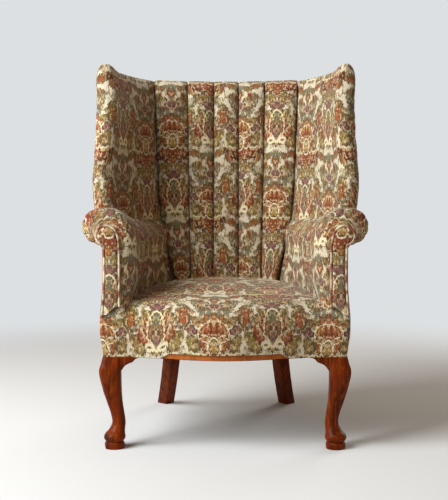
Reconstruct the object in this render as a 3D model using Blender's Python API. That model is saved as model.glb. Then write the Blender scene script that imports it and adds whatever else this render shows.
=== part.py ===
import math

import bmesh
import bpy
from mathutils import Matrix, Vector

# A barrel back wing armchair: mahogany legs, a beech frame, a sprung seat and fixed upholstery.
# Metres. The origin is on the floor below the middle of the chair, +Z is up, the chair faces -Y,
# and right means +X, as seen from the front.

CLEARANCE = 0.0003              # gap between pieces that touch

# Heights, the floor to the seat rails and then up from their underside
LEG_HEIGHT = 0.257
RAIL_HEIGHT = 0.058
SEAT_RISE = 0.190               # to the crown of the seat
SEAT_EDGE_RISE = 0.133          # to the rim of the seat, before its crown
ARM_RISE = 0.407                # to the top of the arm roll
BACK_RISE = 0.830               # to the top of the back
HORN_RISE = 0.013               # the wing's horn, above the back

# Front legs and their knee brackets
FOOT_X = 0.306
FOOT_Y = -0.284
FOOT_RADIUS = 0.030
POST_SIZE = 0.042               # square top of the leg, inside the seat frame
EAR_LENGTH = 0.068              # from the middle of the leg to the bracket's tip
EAR_DROP = 0.043
EAR_THICKNESS = 0.030

# Rear legs
REAR_LEG_X = 0.172              # at the seat rails
REAR_LEG_Y = 0.150
REAR_LEG_SPLAY = 0.035
REAR_LEG_RAKE = 0.152
REAR_LEG_SIZE = 0.042
REAR_LEG_TURN = math.radians(42)

# Seat frame
RAIL_THICKNESS = 0.030
FRONT_RAIL_THICKNESS = 0.035
RAIL_FRONT_Y = -0.305
RAIL_BOW = 0.070                # how far the front rail bows out at its middle
HEM_RISE = 0.014                # bare rail below the cover, at its middle
HEM_HALF_WIDTH = 0.220
COVER = 0.006                   # cover over the front rail
COVER_BULGE = 0.004

# Outside of the barrel, in plan
BARREL_Y = -0.050               # where the straight sides turn into the barrel
BARREL_POWER = 2.6
BACK_OUTSIDE_Y = 0.256828393313  # outside of the back, at the crown of the seat
SIDE_FRONT_Y = -0.316
CORNER_TURN = 0.46              # share of the quarter barrel behind the outside back
OUTSIDE_PAD = 0.008             # cover, wadding and lining outside
OUTSIDE_HALF_WIDTHS = (
    (0.0, 0.326), (0.15, 0.336), (0.30, 0.364), (0.41, 0.384),
    (0.50, 0.392), (0.62, 0.386), (0.72, 0.385), (0.80, 0.391),
)
FRONT_HALF_WIDTHS = ((0.0, 0.336), (0.10, 0.344), (0.24, 0.340), (0.31, 0.342))

# Inside back, with five sewn channels
BACK_INSIDE_Y = 0.150           # at the crown of the seat
BACK_RAKE = math.radians(12)
BACK_HOLLOW = 0.71              # curve of the inside back in plan, 1/m
BACK_PAD = 0.026
CHANNEL_DEPTH = 0.014
CHANNEL_INNER_X = 0.041
CHANNEL_OUTER_X = (0.114, 0.130)  # at the seat, at the top
BACK_EDGE_XS = ((0.10, 0.152), (0.19, 0.166), (0.30, 0.194), (0.405, 0.214), (0.83, 0.238))
CAP_DEPTH = 0.037               # the padding over the crest

# Wings
WING_ROLL = 0.055               # thickness of the rolled front edge
WING_PAD = 0.022
WING_BOW = 0.020
WING_FRONT_YS = ((0.36, -0.130), (0.50, -0.124), (0.64, -0.092), (0.79, -0.045))

# Arms
ROLL_X = 0.3445
ROLL_RADIUS = 0.0515
ROLL_END_Y = -0.12              # behind this the roll runs under the wing
ARM_FRONT_Y = -0.3165
ARM_NOSE = 0.034                # depth of the gathered front of the arm
ARM_TUCK_RISE = 0.103           # lower edge of the inside arm
ARM_FRONT_TUCK = 0.034          # how far that edge climbs to the facing's foot
ARM_FACE_XS = (
    (-0.29, 0.252), (-0.20, 0.246), (-0.10, 0.240), (0.0, 0.225), (0.10, 0.202), (0.17, 0.184),
)
ARM_SEAT_XS = (
    (-0.30, 0.268), (-0.20, 0.262), (-0.10, 0.248), (0.0, 0.222), (0.10, 0.185), (0.165, 0.160),
)
ARM_FRAME_XS = (
    (-0.31, 0.316), (-0.20, 0.316), (-0.12, 0.318), (-0.05, 0.328), (0.02, 0.312), (0.08, 0.280),
    (0.16, 0.228), (0.20, 0.212),
)
ARM_FRAME_WIDTH = 0.031
ARM_FRAME_DEPTH = 0.066         # top of the arm down to the top of its rail
ARM_RAIL_HEIGHT = 0.028
TUCK_RAIL_HEIGHT = 0.030
TUCK_RAIL_WIDTH = 0.017
STUMP_DEPTH = 0.038

# Arm facings
FACING_INNER_X = 0.291
FACING_OUTER_X = 0.335
FACING_RISE = 0.139             # lower end of the facing
HEAD_X = 0.327
HEAD_RISE = ARM_RISE - 0.074
HEAD_RADIUS = 0.029
FACING_THICKNESS = 0.008
SCROLL_BOARD = 0.012
PIPING_RADIUS = 0.0038

# Back and wing frame
POST_THICKNESS = 0.036
BACK_POST_TOP = (0.256, 0.14505531641)  # half width at its top, depth before the rake
CREST_HEIGHT = 0.034
CREST_THICKNESS = 0.040
WING_FRAME = 0.022
WING_POST_DEPTH = 0.036

# Springing
WEB_WIDTH = 0.050
WEB_THICKNESS = 0.002
HESSIAN = 0.002
HESSIAN_ROOM = 0.003            # from the hessian up to the padding
HESSIAN_DOME = 0.045
HESSIAN_HALF_WIDTH = 0.305
HESSIAN_CORNER = 0.235          # how much shorter it is along the sides
SEAT_BACK_Y = 0.186             # where the hessian and the webbing end on the back rail
BOTTOM_CLOTH = 0.0015
SPRING_XS = (-0.11, 0.0, 0.11)
SPRING_YS = (-0.18, -0.06, 0.06)
SPRING_RADIUS = 0.036
SPRING_WAIST = 0.024
SPRING_WIRE = 0.0018
SPRING_TURNS = 4.5
CURL_POINTS = 8

SIDES = (("right", 1), ("left", -1))

RAIL_TOP = LEG_HEIGHT + RAIL_HEIGHT
SEAT_TOP = LEG_HEIGHT + SEAT_RISE
SEAT_EDGE = LEG_HEIGHT + SEAT_EDGE_RISE
ARM_TOP = LEG_HEIGHT + ARM_RISE
ROLL_Z = ARM_TOP - ROLL_RADIUS
ARM_TUCK = LEG_HEIGHT + ARM_TUCK_RISE
ARM_FRAME_TOP = ARM_TOP - ARM_FRAME_DEPTH
BACK_TOP = LEG_HEIGHT + BACK_RISE
CAP_Z = BACK_TOP - CAP_DEPTH
STUMP_FRONT_Y = ARM_FRONT_Y + SCROLL_BOARD + CLEARANCE
POST_TOP = RAIL_TOP + 0.002
ARM_RAIL_WIDTH = ARM_FRAME_WIDTH - 2 * CLEARANCE
REAR_LEG_TOP = RAIL_TOP + 0.015

for item in list(bpy.data.objects):
    bpy.data.objects.remove(item, do_unlink=True)

pieces = bpy.data.collections.new("barrel_back_armchair")
cutters = bpy.data.collections.new("cutters")
bpy.context.scene.collection.children.link(pieces)
bpy.context.scene.collection.children.link(cutters)


# Materials

def material(name, colour, roughness, metallic=0.0):
    made = bpy.data.materials.new(name)
    made.use_nodes = True
    shader = made.node_tree.nodes["Principled BSDF"]
    shader.inputs["Base Color"].default_value = (*colour, 1.0)
    shader.inputs["Roughness"].default_value = roughness
    shader.inputs["Metallic"].default_value = metallic
    made.diffuse_color = (*colour, 1.0)
    return made


MAHOGANY = material("mahogany", (0.16, 0.035, 0.012), 0.28)
BEECH = material("beech", (0.50, 0.25, 0.10), 0.55)
TAPESTRY = material("damask_tapestry", (0.55, 0.43, 0.28), 0.85)
PIPING = material("tapestry_piping", (0.50, 0.30, 0.18), 0.85)
HESSIAN_CLOTH = material("hessian", (0.42, 0.31, 0.17), 0.95)
JUTE = material("jute_webbing", (0.38, 0.26, 0.13), 0.95)
STEEL = material("spring_steel", (0.35, 0.34, 0.33), 0.35, 1.0)
CAMBRIC = material("black_cambric", (0.03, 0.03, 0.03), 0.9)


# Building helpers

def finish_mesh(name, mesh, finish, smooth_angle=40):
    mesh.shade_smooth()
    mesh.set_sharp_from_angle(angle=math.radians(smooth_angle))
    mesh.materials.clear()
    mesh.materials.append(finish)
    piece = bpy.data.objects.new(name, mesh)
    pieces.objects.link(piece)
    return piece


def loft(name, rings, finish):
    # A closed skin through rings of equally many points, with a face at each end.
    shape = bmesh.new()
    rows = [[shape.verts.new(point) for point in ring] for ring in rings]
    for row, following in zip(rows, rows[1:]):
        for here in range(len(row)):
            there = (here + 1) % len(row)
            shape.faces.new((row[here], row[there], following[there], following[here]))
    shape.faces.new(rows[0])
    shape.faces.new(rows[-1])
    bmesh.ops.remove_doubles(shape, verts=shape.verts, dist=1e-6)
    bmesh.ops.recalc_face_normals(shape, faces=shape.faces)
    bmesh.ops.triangulate(shape, faces=shape.faces)
    mesh = bpy.data.meshes.new(name)
    shape.to_mesh(mesh)
    shape.free()
    return finish_mesh(name, mesh, finish)


PLANES = {
    "XY": Matrix.Identity(4),
    "XZ": Matrix.Rotation(math.pi / 2, 4, "X"),
    "YZ": Matrix(((0, 0, 1, 0), (1, 0, 0, 0), (0, 1, 0, 0), (0, 0, 0, 1))),
}
NORMALS = {"XY": Vector((0, 0, 1)), "XZ": Vector((0, 1, 0)), "YZ": Vector((1, 0, 0))}


def plank(name, outline, low, high, finish, plane="XY"):
    # A board sawn to a flat outline, from low to high along the plane's normal.
    curve = bpy.data.curves.new(name, "CURVE")
    curve.dimensions = "2D"
    curve.fill_mode = "BOTH"
    curve.extrude = abs(high - low) / 2
    spline = curve.splines.new("POLY")
    spline.points.add(len(outline) - 1)
    for point, (across, along) in zip(spline.points, outline):
        point.co = (across, along, 0, 1)
    spline.use_cyclic_u = True
    flat = bpy.data.objects.new(name, curve)
    pieces.objects.link(flat)
    mesh = mesh_of(flat)
    bpy.data.objects.remove(flat)
    mesh.transform(PLANES[plane])
    mesh.transform(Matrix.Translation(NORMALS[plane] * (low + high) / 2))
    return finish_mesh(name, mesh, finish)


def box(name, low, high, finish):
    bpy.ops.mesh.primitive_cube_add(size=1)
    cube = bpy.context.active_object
    mesh = cube.data
    bpy.data.objects.remove(cube)
    size = [b - a for a, b in zip(low, high)]
    middle = [(a + b) / 2 for a, b in zip(low, high)]
    mesh.transform(Matrix.LocRotScale(middle, None, size))
    return finish_mesh(name, mesh, finish)


def mesh_of(piece):
    bpy.context.view_layer.update()
    ready = bpy.context.evaluated_depsgraph_get()
    mesh = bpy.data.meshes.new_from_object(piece.evaluated_get(ready), depsgraph=ready)
    shape = bmesh.new()
    shape.from_mesh(mesh)
    bmesh.ops.remove_doubles(shape, verts=shape.verts, dist=1e-6)
    bmesh.ops.recalc_face_normals(shape, faces=shape.faces)
    shape.to_mesh(mesh)
    shape.free()
    return mesh


def grown(piece):
    # A copy of a piece before its own cuts, larger by the clearance, to cut its neighbours with.
    mesh = piece.data.copy()
    shape = bmesh.new()
    shape.from_mesh(mesh)
    shape.normal_update()
    for vert in shape.verts:
        vert.co += vert.normal * CLEARANCE * min(vert.calc_shell_factor(), 2.0)
    shape.to_mesh(mesh)
    shape.free()
    cutter = bpy.data.objects.new("room_for_" + piece.name, mesh)
    cutter.hide_render = True
    cutter.display_type = "WIRE"
    cutters.objects.link(cutter)
    return cutter


def fit(piece, *neighbours):
    # Cuts away of a piece what its neighbours take up, and their clearance.
    for neighbour in neighbours:
        cut = piece.modifiers.new("fit_" + neighbour.name, "BOOLEAN")
        cut.operation = "DIFFERENCE"
        cut.solver = "EXACT"
        cut.object = grown(neighbour)


# Curves and sections

def keyed(keys, at):
    # A smooth curve through the keys, level beyond its ends.
    if at <= keys[0][0]:
        return keys[0][1]
    if at >= keys[-1][0]:
        return keys[-1][1]
    index = max(i for i in range(len(keys) - 1) if keys[i][0] <= at)

    def slope(i):
        before = keys[max(i - 1, 0)]
        after = keys[min(i + 1, len(keys) - 1)]
        return (after[1] - before[1]) / (after[0] - before[0])

    (a, start), (b, end) = keys[index], keys[index + 1]
    f = (at - a) / (b - a)
    bend = (b - a) * (f * (1 - f) ** 2 * slope(index) - f * f * (1 - f) * slope(index + 1))
    return start + (end - start) * f * f * (3 - 2 * f) + bend


def mix(start, end, share):
    return start + (end - start) * share


def offset_path(path, distance):
    # The path moved to the left of its direction.
    moved = []
    for index, point in enumerate(path):
        before = path[max(index - 1, 0)]
        after = path[min(index + 1, len(path) - 1)]
        along = (after[0] - before[0], after[1] - before[1])
        length = math.hypot(*along)
        moved.append((point[0] - along[1] / length * distance, point[1] + along[0] / length * distance))
    return moved


def steps(start, end, count):
    return [mix(start, end, index / (count - 1)) for index in range(count)]


def rail_front(x):
    share = min(abs(x) / (FOOT_X - POST_SIZE / 2), 1.0)
    return RAIL_FRONT_Y - RAIL_BOW * 0.5 * (1 + math.cos(math.pi * share))


def barrel_size(z):
    wide = keyed(OUTSIDE_HALF_WIDTHS, z - LEG_HEIGHT)
    deep = BACK_OUTSIDE_Y + (min(z, CAP_Z) - SEAT_TOP) * math.tan(BACK_RAKE) - BARREL_Y
    return wide, deep


def outside(turn, z):
    # A point of the outside, from the middle of the back (0) round the barrel (1) to the front (2).
    wide, deep = barrel_size(z)
    side = math.copysign(1, turn)
    turn = abs(turn)
    if turn <= 1:
        angle = turn * math.pi / 2
        x = wide * math.sin(angle) ** (2 / BARREL_POWER)
        y = BARREL_Y + deep * max(math.cos(angle), 0) ** (2 / BARREL_POWER)
        return side * x, y
    rise = z - LEG_HEIGHT
    front = keyed(FRONT_HALF_WIDTHS, rise) if rise < FRONT_HALF_WIDTHS[-1][0] else wide
    return side * mix(wide, front, turn - 1), mix(BARREL_Y, SIDE_FRONT_Y, turn - 1)


def turn_at_y(y, z):
    if y <= BARREL_Y:
        return 1 + (BARREL_Y - y) / (BARREL_Y - SIDE_FRONT_Y)
    deep = barrel_size(z)[1]
    return math.acos(((y - BARREL_Y) / deep) ** (BARREL_POWER / 2)) * 2 / math.pi


def outside_band(turns, z, near, far):
    # A flat outline that follows the outside, between two depths in from it.
    path = [outside(turn, z) for turn in turns]
    return offset_path(path, near) + offset_path(path, far)[::-1]


def panel(name, turn_range, heights, finish):
    # An outside cover on its lining, in level slices.
    slices = []
    for z in heights:
        outer, inner = [], []
        for turn in turn_range(z):
            x, y = outside(turn, z)
            behind, ahead = outside(turn - 0.004, z), outside(turn + 0.004, z)
            along = Vector((ahead[0] - behind[0], ahead[1] - behind[1])).normalized()
            outer.append((x, y, z))
            inner.append((x + along.y * OUTSIDE_PAD, y - along.x * OUTSIDE_PAD, z))
        slices.append(outer + inner[::-1])
    return loft(name, slices, finish)


# Legs

LEG_SIDES = 16
# height share, diagonal offset outwards, half width, squareness
LEG_PROFILE = (
    (0.000, 0.0, 0.88, 2.0), (0.040, 0.0, 0.92, 2.0), (0.066, 0.0, 0.87, 2.0),
    (0.076, 0.0, 0.78, 2.0), (0.088, 0.0, 0.88, 2.0), (0.117, 0.0, 1.00, 2.0),
    (0.156, -0.001, 0.92, 2.0), (0.202, -0.006, 0.73, 2.1), (0.272, -0.0105, 0.62, 2.2),
    (0.381, -0.007, 0.635, 2.4), (0.502, -0.0005, 0.72, 2.6), (0.661, 0.006, 0.87, 3.0),
    (0.833, 0.010, 1.00, 3.6), (0.934, 0.0065, 0.92, 4.5), (1.000, 0.003, 0.88, 6.0),
)


def leg_ring(x, y, z, half, power):
    ring = []
    for index in range(LEG_SIDES):
        angle = 2 * math.pi * index / LEG_SIDES
        reach = half / (abs(math.cos(angle)) ** power + abs(math.sin(angle)) ** power) ** (1 / power)
        ring.append((x + reach * math.cos(angle), y + reach * math.sin(angle), z))
    return ring


def front_leg(side, sign):
    rings = []
    for share, out, width, power in LEG_PROFILE:
        x = sign * (FOOT_X + out)
        rings.append(leg_ring(x, FOOT_Y - out, share * LEG_HEIGHT, width * FOOT_RADIUS, power))
    for z in (LEG_HEIGHT, POST_TOP):
        rings.append(leg_ring(sign * FOOT_X, FOOT_Y, z, POST_SIZE / 2, 12.0))
    return loft("front_leg_" + side, rings, MAHOGANY)


def ear_outline(tip, root):
    # The bracket's hollow and round lower edge, from its tip to the leg.
    top = LEG_HEIGHT - CLEARANCE
    lower = [(mix(tip, root, f), top - EAR_DROP * drop) for f, drop in (
        (0.0, 0.0), (0.02, 0.12), (0.18, 0.34), (0.36, 0.47), (0.55, 0.61), (0.78, 0.82), (1.0, 1.0))]
    return [(root, top)] + lower


def front_ear(side, sign, leg):
    tip = sign * (FOOT_X - EAR_LENGTH)
    middle = FOOT_Y - 0.013
    outline = ear_outline(tip, sign * (FOOT_X - POST_SIZE / 2 + 0.012))
    low, high = middle - EAR_THICKNESS / 2, middle + EAR_THICKNESS / 2
    ear = plank("front_ear_" + side, outline, low, high, MAHOGANY, "XZ")
    fit(ear, leg)
    return ear


def side_ear(side, sign, leg):
    outline = ear_outline(FOOT_Y + EAR_LENGTH, FOOT_Y + POST_SIZE / 2 - 0.012)
    middle = FOOT_X + 0.006
    low, high = sorted((sign * (middle - EAR_THICKNESS / 2), sign * (middle + EAR_THICKNESS / 2)))
    ear = plank("side_ear_" + side, outline, low, high, MAHOGANY, "YZ")
    fit(ear, leg)
    return ear


def rear_leg(side, sign):
    rings = []
    half = REAR_LEG_SIZE / 2
    chamfer = 0.003
    corner = ((half, chamfer - half), (half, half - chamfer))
    for z in [LEG_HEIGHT * share for share in (0, 0.2, 0.4, 0.6, 0.8, 1.0)] + [REAR_LEG_TOP]:
        sweep = max(1 - z / LEG_HEIGHT, 0) ** 1.5
        x = REAR_LEG_X + REAR_LEG_SPLAY * sweep
        y = REAR_LEG_Y + REAR_LEG_RAKE * sweep
        ring = []
        for quarter in range(4):
            angle = REAR_LEG_TURN + quarter * math.pi / 2
            for a, b in corner:
                across = a * math.cos(angle) - b * math.sin(angle)
                along = a * math.sin(angle) + b * math.cos(angle)
                ring.append((sign * (x + across), y + along, z))
        rings.append(ring)
    return loft("rear_leg_" + side, rings, MAHOGANY)


# Seat frame

def front_seat_rail():
    reach = FOOT_X - POST_SIZE / 2 - CLEARANCE
    xs = steps(-reach, reach, 25)
    front = [(x, rail_front(x)) for x in xs]
    back = [(x, y + FRONT_RAIL_THICKNESS) for x, y in reversed(front)]
    return plank("front_seat_rail", front + back, LEG_HEIGHT, RAIL_TOP, BEECH)


def side_seat_rail(side, sign, *legs):
    front = turn_at_y(FOOT_Y + POST_SIZE / 2 + CLEARANCE, LEG_HEIGHT)
    turns = [sign * turn for turn in steps(front, 0.42, 14)]
    inset = OUTSIDE_PAD + 2 * CLEARANCE
    outline = outside_band(turns, LEG_HEIGHT, sign * inset, sign * (inset + RAIL_THICKNESS))
    rail = plank("side_seat_rail_" + side, outline, LEG_HEIGHT, RAIL_TOP, BEECH)
    fit(rail, *legs)
    return rail


def back_seat_rail(legs):
    turns = steps(0.40, -0.40, 17)
    inset = OUTSIDE_PAD + 2 * CLEARANCE
    outline = outside_band(turns, LEG_HEIGHT, inset, inset + RAIL_THICKNESS)
    rail = plank("back_seat_rail", outline, LEG_HEIGHT, RAIL_TOP, BEECH)
    fit(rail, *legs)
    return rail


def corner_blocks(side, sign, front_post, rear_post, front, back, flank):
    low, high = LEG_HEIGHT, RAIL_TOP - 0.008
    x, y = FOOT_X - POST_SIZE / 2, FOOT_Y
    outline = [(x - 0.060, y), (x + 0.015, y), (x + 0.015, y + 0.090)]
    block = plank("corner_block_front_" + side, [(sign * a, b) for a, b in outline], low, high, BEECH)
    fit(block, front_post, front, flank)
    front_block = block
    x, y = REAR_LEG_X, REAR_LEG_Y
    outline = [(x - 0.082, y + 0.045), (x - 0.082, y - 0.038), (x + 0.053, y - 0.090),
               (x + 0.100, y - 0.070), (x + 0.028, y - 0.010)]
    block = plank("corner_block_rear_" + side, [(sign * a, b) for a, b in outline], low, high, BEECH)
    fit(block, rear_post, back, flank)
    return front_block


# Back and wing frame

CREST_LOW = CAP_Z - CREST_HEIGHT
CREST_TURN = 0.47
POST_TOP_Y = BACK_POST_TOP[1] + (CREST_LOW - SEAT_TOP) * math.tan(BACK_RAKE)


def back_post(side, sign):
    rings = []
    top = CREST_LOW - CLEARANCE
    for z in (REAR_LEG_TOP + CLEARANCE, top):
        share = (z - REAR_LEG_TOP) / (top - REAR_LEG_TOP)
        x = sign * mix(REAR_LEG_X, BACK_POST_TOP[0], share)
        y = mix(REAR_LEG_Y, POST_TOP_Y, share)
        rings.append([(x + a * POST_THICKNESS / 2, y + b * POST_THICKNESS / 2, z)
                      for a, b in ((-1, -1), (1, -1), (1, 1), (-1, 1))])
    return loft("back_post_" + side, rings, BEECH)


def crest_rail():
    turns = steps(CREST_TURN, -CREST_TURN, 21)
    inset = OUTSIDE_PAD + 2 * CLEARANCE
    outline = outside_band(turns, CREST_LOW, inset, inset + CREST_THICKNESS)
    return plank("crest_rail", outline, CREST_LOW, CAP_Z - CLEARANCE, BEECH)


def back_tuck_rail(posts):
    z = SEAT_TOP - 0.010
    share = (z - REAR_LEG_TOP) / (CREST_LOW - REAR_LEG_TOP)
    x = mix(REAR_LEG_X, BACK_POST_TOP[0], share)
    y = mix(REAR_LEG_Y, POST_TOP_Y, share)
    low = (-x, y - POST_THICKNESS / 2 + 0.002, z)
    high = (x, y + POST_THICKNESS / 2 - 0.006, z + TUCK_RAIL_HEIGHT)
    rail = box("back_tuck_rail", low, high, BEECH)
    fit(rail, *posts)
    return rail


def wing_front_y(z):
    return keyed(WING_FRONT_YS, z - LEG_HEIGHT)


def wing_post_turn(z):
    return turn_at_y(wing_front_y(z) + WING_ROLL + WING_POST_DEPTH / 2, z)


def wing_rail(side, sign, crest):
    front = wing_post_turn(CREST_LOW) + 0.05
    turns = [sign * turn for turn in steps(front, CREST_TURN - 0.03, 10)]
    inset = OUTSIDE_PAD + 2 * CLEARANCE
    outline = outside_band(turns, CREST_LOW, sign * inset, sign * (inset + WING_FRAME))
    rail = plank("wing_rail_" + side, outline, CREST_LOW, CAP_Z - CLEARANCE, BEECH)
    fit(rail, crest)
    return rail


def wing_post(side, sign):
    rings = []
    inset = OUTSIDE_PAD + 2 * CLEARANCE
    for z in steps(ARM_FRAME_TOP - ARM_RAIL_HEIGHT, CREST_LOW - CLEARANCE, 7):
        x, y = outside(wing_post_turn(z), z)
        half = WING_POST_DEPTH / 2
        rings.append([(sign * a, b, z) for a, b in (
            (x - inset - WING_FRAME, y - half), (x - inset, y - half),
            (x - inset - 0.002, y + half), (x - inset - WING_FRAME - 0.002, y + half))])
    return loft("wing_post_" + side, rings, BEECH)


# Arm frame

NOSE_ANGLES = (0, 25, 50, 75)
ARM_STATIONS = [ARM_FRONT_Y + ARM_NOSE * (1 - math.cos(math.radians(angle))) for angle in NOSE_ANGLES]
ARM_STATIONS += [-0.27, -0.22, -0.17, ROLL_END_Y, -0.085, -0.05, 0.0, 0.06, 0.12, 0.157, 0.20]


def arm_frame_x(y):
    # The middle of the arm's frame, straight from one station to the next.
    index = max(i for i in range(len(ARM_STATIONS) - 1) if ARM_STATIONS[i] <= y or i == 0)
    low, high = ARM_STATIONS[index], ARM_STATIONS[index + 1]
    return mix(keyed(ARM_FRAME_XS, low), keyed(ARM_FRAME_XS, high), (y - low) / (high - low))


def arm_frame_band(start, end, width):
    # A strip along the inner wall of the arm's pocket.
    inner = CLEARANCE - ARM_FRAME_WIDTH / 2
    ys = [start] + [y for y in ARM_STATIONS if start < y < end] + [end]
    near = [(arm_frame_x(y) + inner + width, y) for y in ys]
    far = [(arm_frame_x(y) + inner, y) for y in ys]
    return near + far[::-1]


def arm_stump(side, sign):
    strip = arm_frame_band(STUMP_FRONT_Y, STUMP_FRONT_Y + STUMP_DEPTH, ARM_RAIL_WIDTH)
    outline = [(sign * x, y) for x, y in strip]
    top = ARM_FRAME_TOP - ARM_RAIL_HEIGHT - CLEARANCE
    return plank("arm_stump_" + side, outline, POST_TOP + CLEARANCE, top, BEECH)


def arm_board(name, side, sign, start_y, width, low, high, post):
    outline = [(sign * x, y) for x, y in arm_frame_band(start_y, ARM_STATIONS[-1], width)]
    board = plank(name + side, outline, low, high, BEECH)
    fit(board, post)
    return board


def facing_path(lower, grow=0.0):
    # The mushroom outline of an arm's front, from its inner foot over the head to its outer foot.
    head_z = LEG_HEIGHT + HEAD_RISE
    path = [(FACING_INNER_X, lower), (FACING_INNER_X, lower + 0.06), (FACING_INNER_X, head_z - 0.06),
            (FACING_INNER_X + 0.001, head_z - 0.016), (HEAD_X - HEAD_RADIUS * 0.98, head_z + 0.008),
            (HEAD_X - HEAD_RADIUS * 0.72, head_z + HEAD_RADIUS * 0.70),
            (HEAD_X - HEAD_RADIUS * 0.38, head_z + HEAD_RADIUS * 0.93)]
    for angle in (90, 60, 30, 0, -30, -60):
        turn = math.radians(angle)
        path.append((HEAD_X + HEAD_RADIUS * math.cos(turn), head_z + HEAD_RADIUS * math.sin(turn)))
    path += [(FACING_OUTER_X, head_z - HEAD_RADIUS - 0.006), (FACING_OUTER_X, lower)]
    return offset_path(path, grow)


def scroll_board(side, sign):
    outline = [(sign * x, z) for x, z in facing_path(LEG_HEIGHT + FACING_RISE, -0.0015)]
    return plank("scroll_board_" + side, outline, ARM_FRONT_Y, ARM_FRONT_Y + SCROLL_BOARD, BEECH, "XZ")


# Upholstery

def back_lines(z):
    share = (z - SEAT_TOP) / (BACK_TOP - SEAT_TOP)
    outer = mix(*CHANNEL_OUTER_X, share)
    edge = keyed(BACK_EDGE_XS, z - LEG_HEIGHT)
    return (-edge, -outer, -CHANNEL_INNER_X, CHANNEL_INNER_X, outer, edge)


def inside_y(x, z):
    return BACK_INSIDE_Y + (z - SEAT_TOP) * math.tan(BACK_RAKE) - BACK_HOLLOW * x * x


def outside_y(x, z):
    wide, deep = barrel_size(z)
    return BARREL_Y + deep * (1 - (abs(x) / wide) ** BARREL_POWER) ** (1 / BARREL_POWER)


CHANNEL_SHARES = (0.0, 0.10, 0.30, 0.50, 0.70, 0.90)


def back_column(channel, share):
    # A slice through the padding from its foot, up the front, over the crest and down the back.
    bulge = CHANNEL_DEPTH * math.sqrt(1 - (2 * share - 1) ** 2)

    def across(z):
        lines = back_lines(z)
        return mix(lines[channel], lines[channel + 1], share)

    heights = steps(ARM_TUCK, CAP_Z, 7)
    ring = [(across(z), inside_y(across(z), z) - bulge, z) for z in heights]
    for angle in (30, 60, 90):
        turn = math.radians(angle)
        z = CAP_Z + (CAP_DEPTH + bulge * 0.25 - 0.0035) * math.sin(turn)
        round_in = CAP_DEPTH * (1 - math.cos(turn))
        ring.append((across(z), inside_y(across(z), z) - bulge * math.cos(turn) + round_in, z))
    for angle in (90, 60, 30, 0):
        turn = math.radians(angle)
        z = CAP_Z + (CAP_DEPTH + bulge * 0.25 - 0.0035) * math.sin(turn)
        round_in = CAP_DEPTH * (1 - math.cos(turn))
        ring.append((across(z), outside_y(across(z), CAP_Z) - round_in, z))
    ring += [(across(z), inside_y(across(z), z) + BACK_PAD, z) for z in reversed(heights)]
    return ring


def inside_back(*frame):
    columns = [(channel, share) for channel in range(5) for share in CHANNEL_SHARES] + [(4, 1.0)]
    back = loft("inside_back", [back_column(*column) for column in columns], TAPESTRY)
    fit(back, *frame)
    return back


ROOF_SLOPE = 0.0006             # fall of a wing's cap towards its pocket
WING_INSIDE = (0.0, 0.18, 0.36, 0.54, 0.72, 0.88, 1.0)
WING_OUTSIDE = (1.0, 0.86)
WING_SEAM = 0.849               # the outside wing is sewn on behind the roll
WING_POCKET = (0.84, 0.70, 0.52, 0.34, 0.16, 0.0)


def wing_inside(share, z):
    edge = back_lines(z)[-1] + CLEARANCE
    start = Vector((edge, inside_y(edge, z)))
    wide = keyed(OUTSIDE_HALF_WIDTHS, z - LEG_HEIGHT)
    end = Vector((wide - WING_ROLL, wing_front_y(z) + WING_ROLL / 2))
    middle = (start + end) / 2 + Vector((WING_BOW, WING_BOW * 0.5))
    return start * (1 - share) ** 2 + middle * 2 * share * (1 - share) + end * share ** 2


def wing_turn(share, z):
    start = outside_y(back_lines(z)[-1] + CLEARANCE, z)
    front = wing_front_y(z) + WING_ROLL / 2
    return turn_at_y(mix(start, front, share), z)


def wing_outside(share, z):
    return Vector(outside(wing_turn(share, z), z))


def wing_ring(z, rounding=0.0, capped=False):
    # A level slice through a wing: inside face, rolled front, and the outside or the frame's pocket.
    inset = (1 - math.cos(rounding)) * (WING_ROLL / 2 - 0.002)
    level = min(z, CAP_Z)
    climb = math.sin(rounding)

    def lifted(point, share):
        horn = max((share - 0.55) / 0.45, 0) ** 2 * HORN_RISE * climb
        return (point.x, point.y, z + horn)

    def towards(point, other):
        return point + (other - point).normalized() * inset

    ring = []
    for share in WING_INSIDE:
        inner, outer = wing_inside(share, level), wing_outside(share, level)
        ring.append(lifted(towards(inner, outer), share))
    inner, outer = wing_inside(1.0, level), wing_outside(1.0, level)
    middle, half = (inner + outer) / 2, (outer - inner) / 2
    shrink = 1 - inset / half.length
    for angle in (30, 60, 90, 120, 150):
        turn = math.radians(angle)
        front = Vector((0, -half.length * math.sin(turn)))
        ring.append(lifted(middle + (half * -math.cos(turn) + front) * shrink, 1.0))
    for share in WING_OUTSIDE:
        ring.append(lifted(towards(wing_outside(share, level), wing_inside(share, level)), share))
    for share in WING_POCKET:
        inner, outer = wing_inside(share, level), wing_outside(share, level)
        if capped:
            ring.append(lifted(towards(outer, inner), share))
        else:
            ring.append(lifted(inner + (outer - inner).normalized() * WING_PAD, share))
    return ring


def wing(side, sign, *frame):
    rings = [wing_ring(z) for z in steps(ARM_TOP - 0.030, CAP_Z, 7)]
    for angle in (0, 30, 60, 90):
        rounding = math.radians(angle)
        height = mix(CAP_Z + ROOF_SLOPE, BACK_TOP, math.sin(rounding))
        rings.append(wing_ring(height, rounding, True))
    rings = [[(sign * x, y, z) for x, y, z in ring] for ring in rings]
    padded = loft("wing_" + side, rings, TAPESTRY)
    fit(padded, *frame)
    return padded


ROLL_ANGLES = (90, 60, 30, 0, -30, -60, -90)


def arm_tuck(y):
    climb = min(max((-0.225 - y) / 0.05, 0), 1)
    return ARM_TUCK + ARM_FRONT_TUCK * climb


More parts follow.
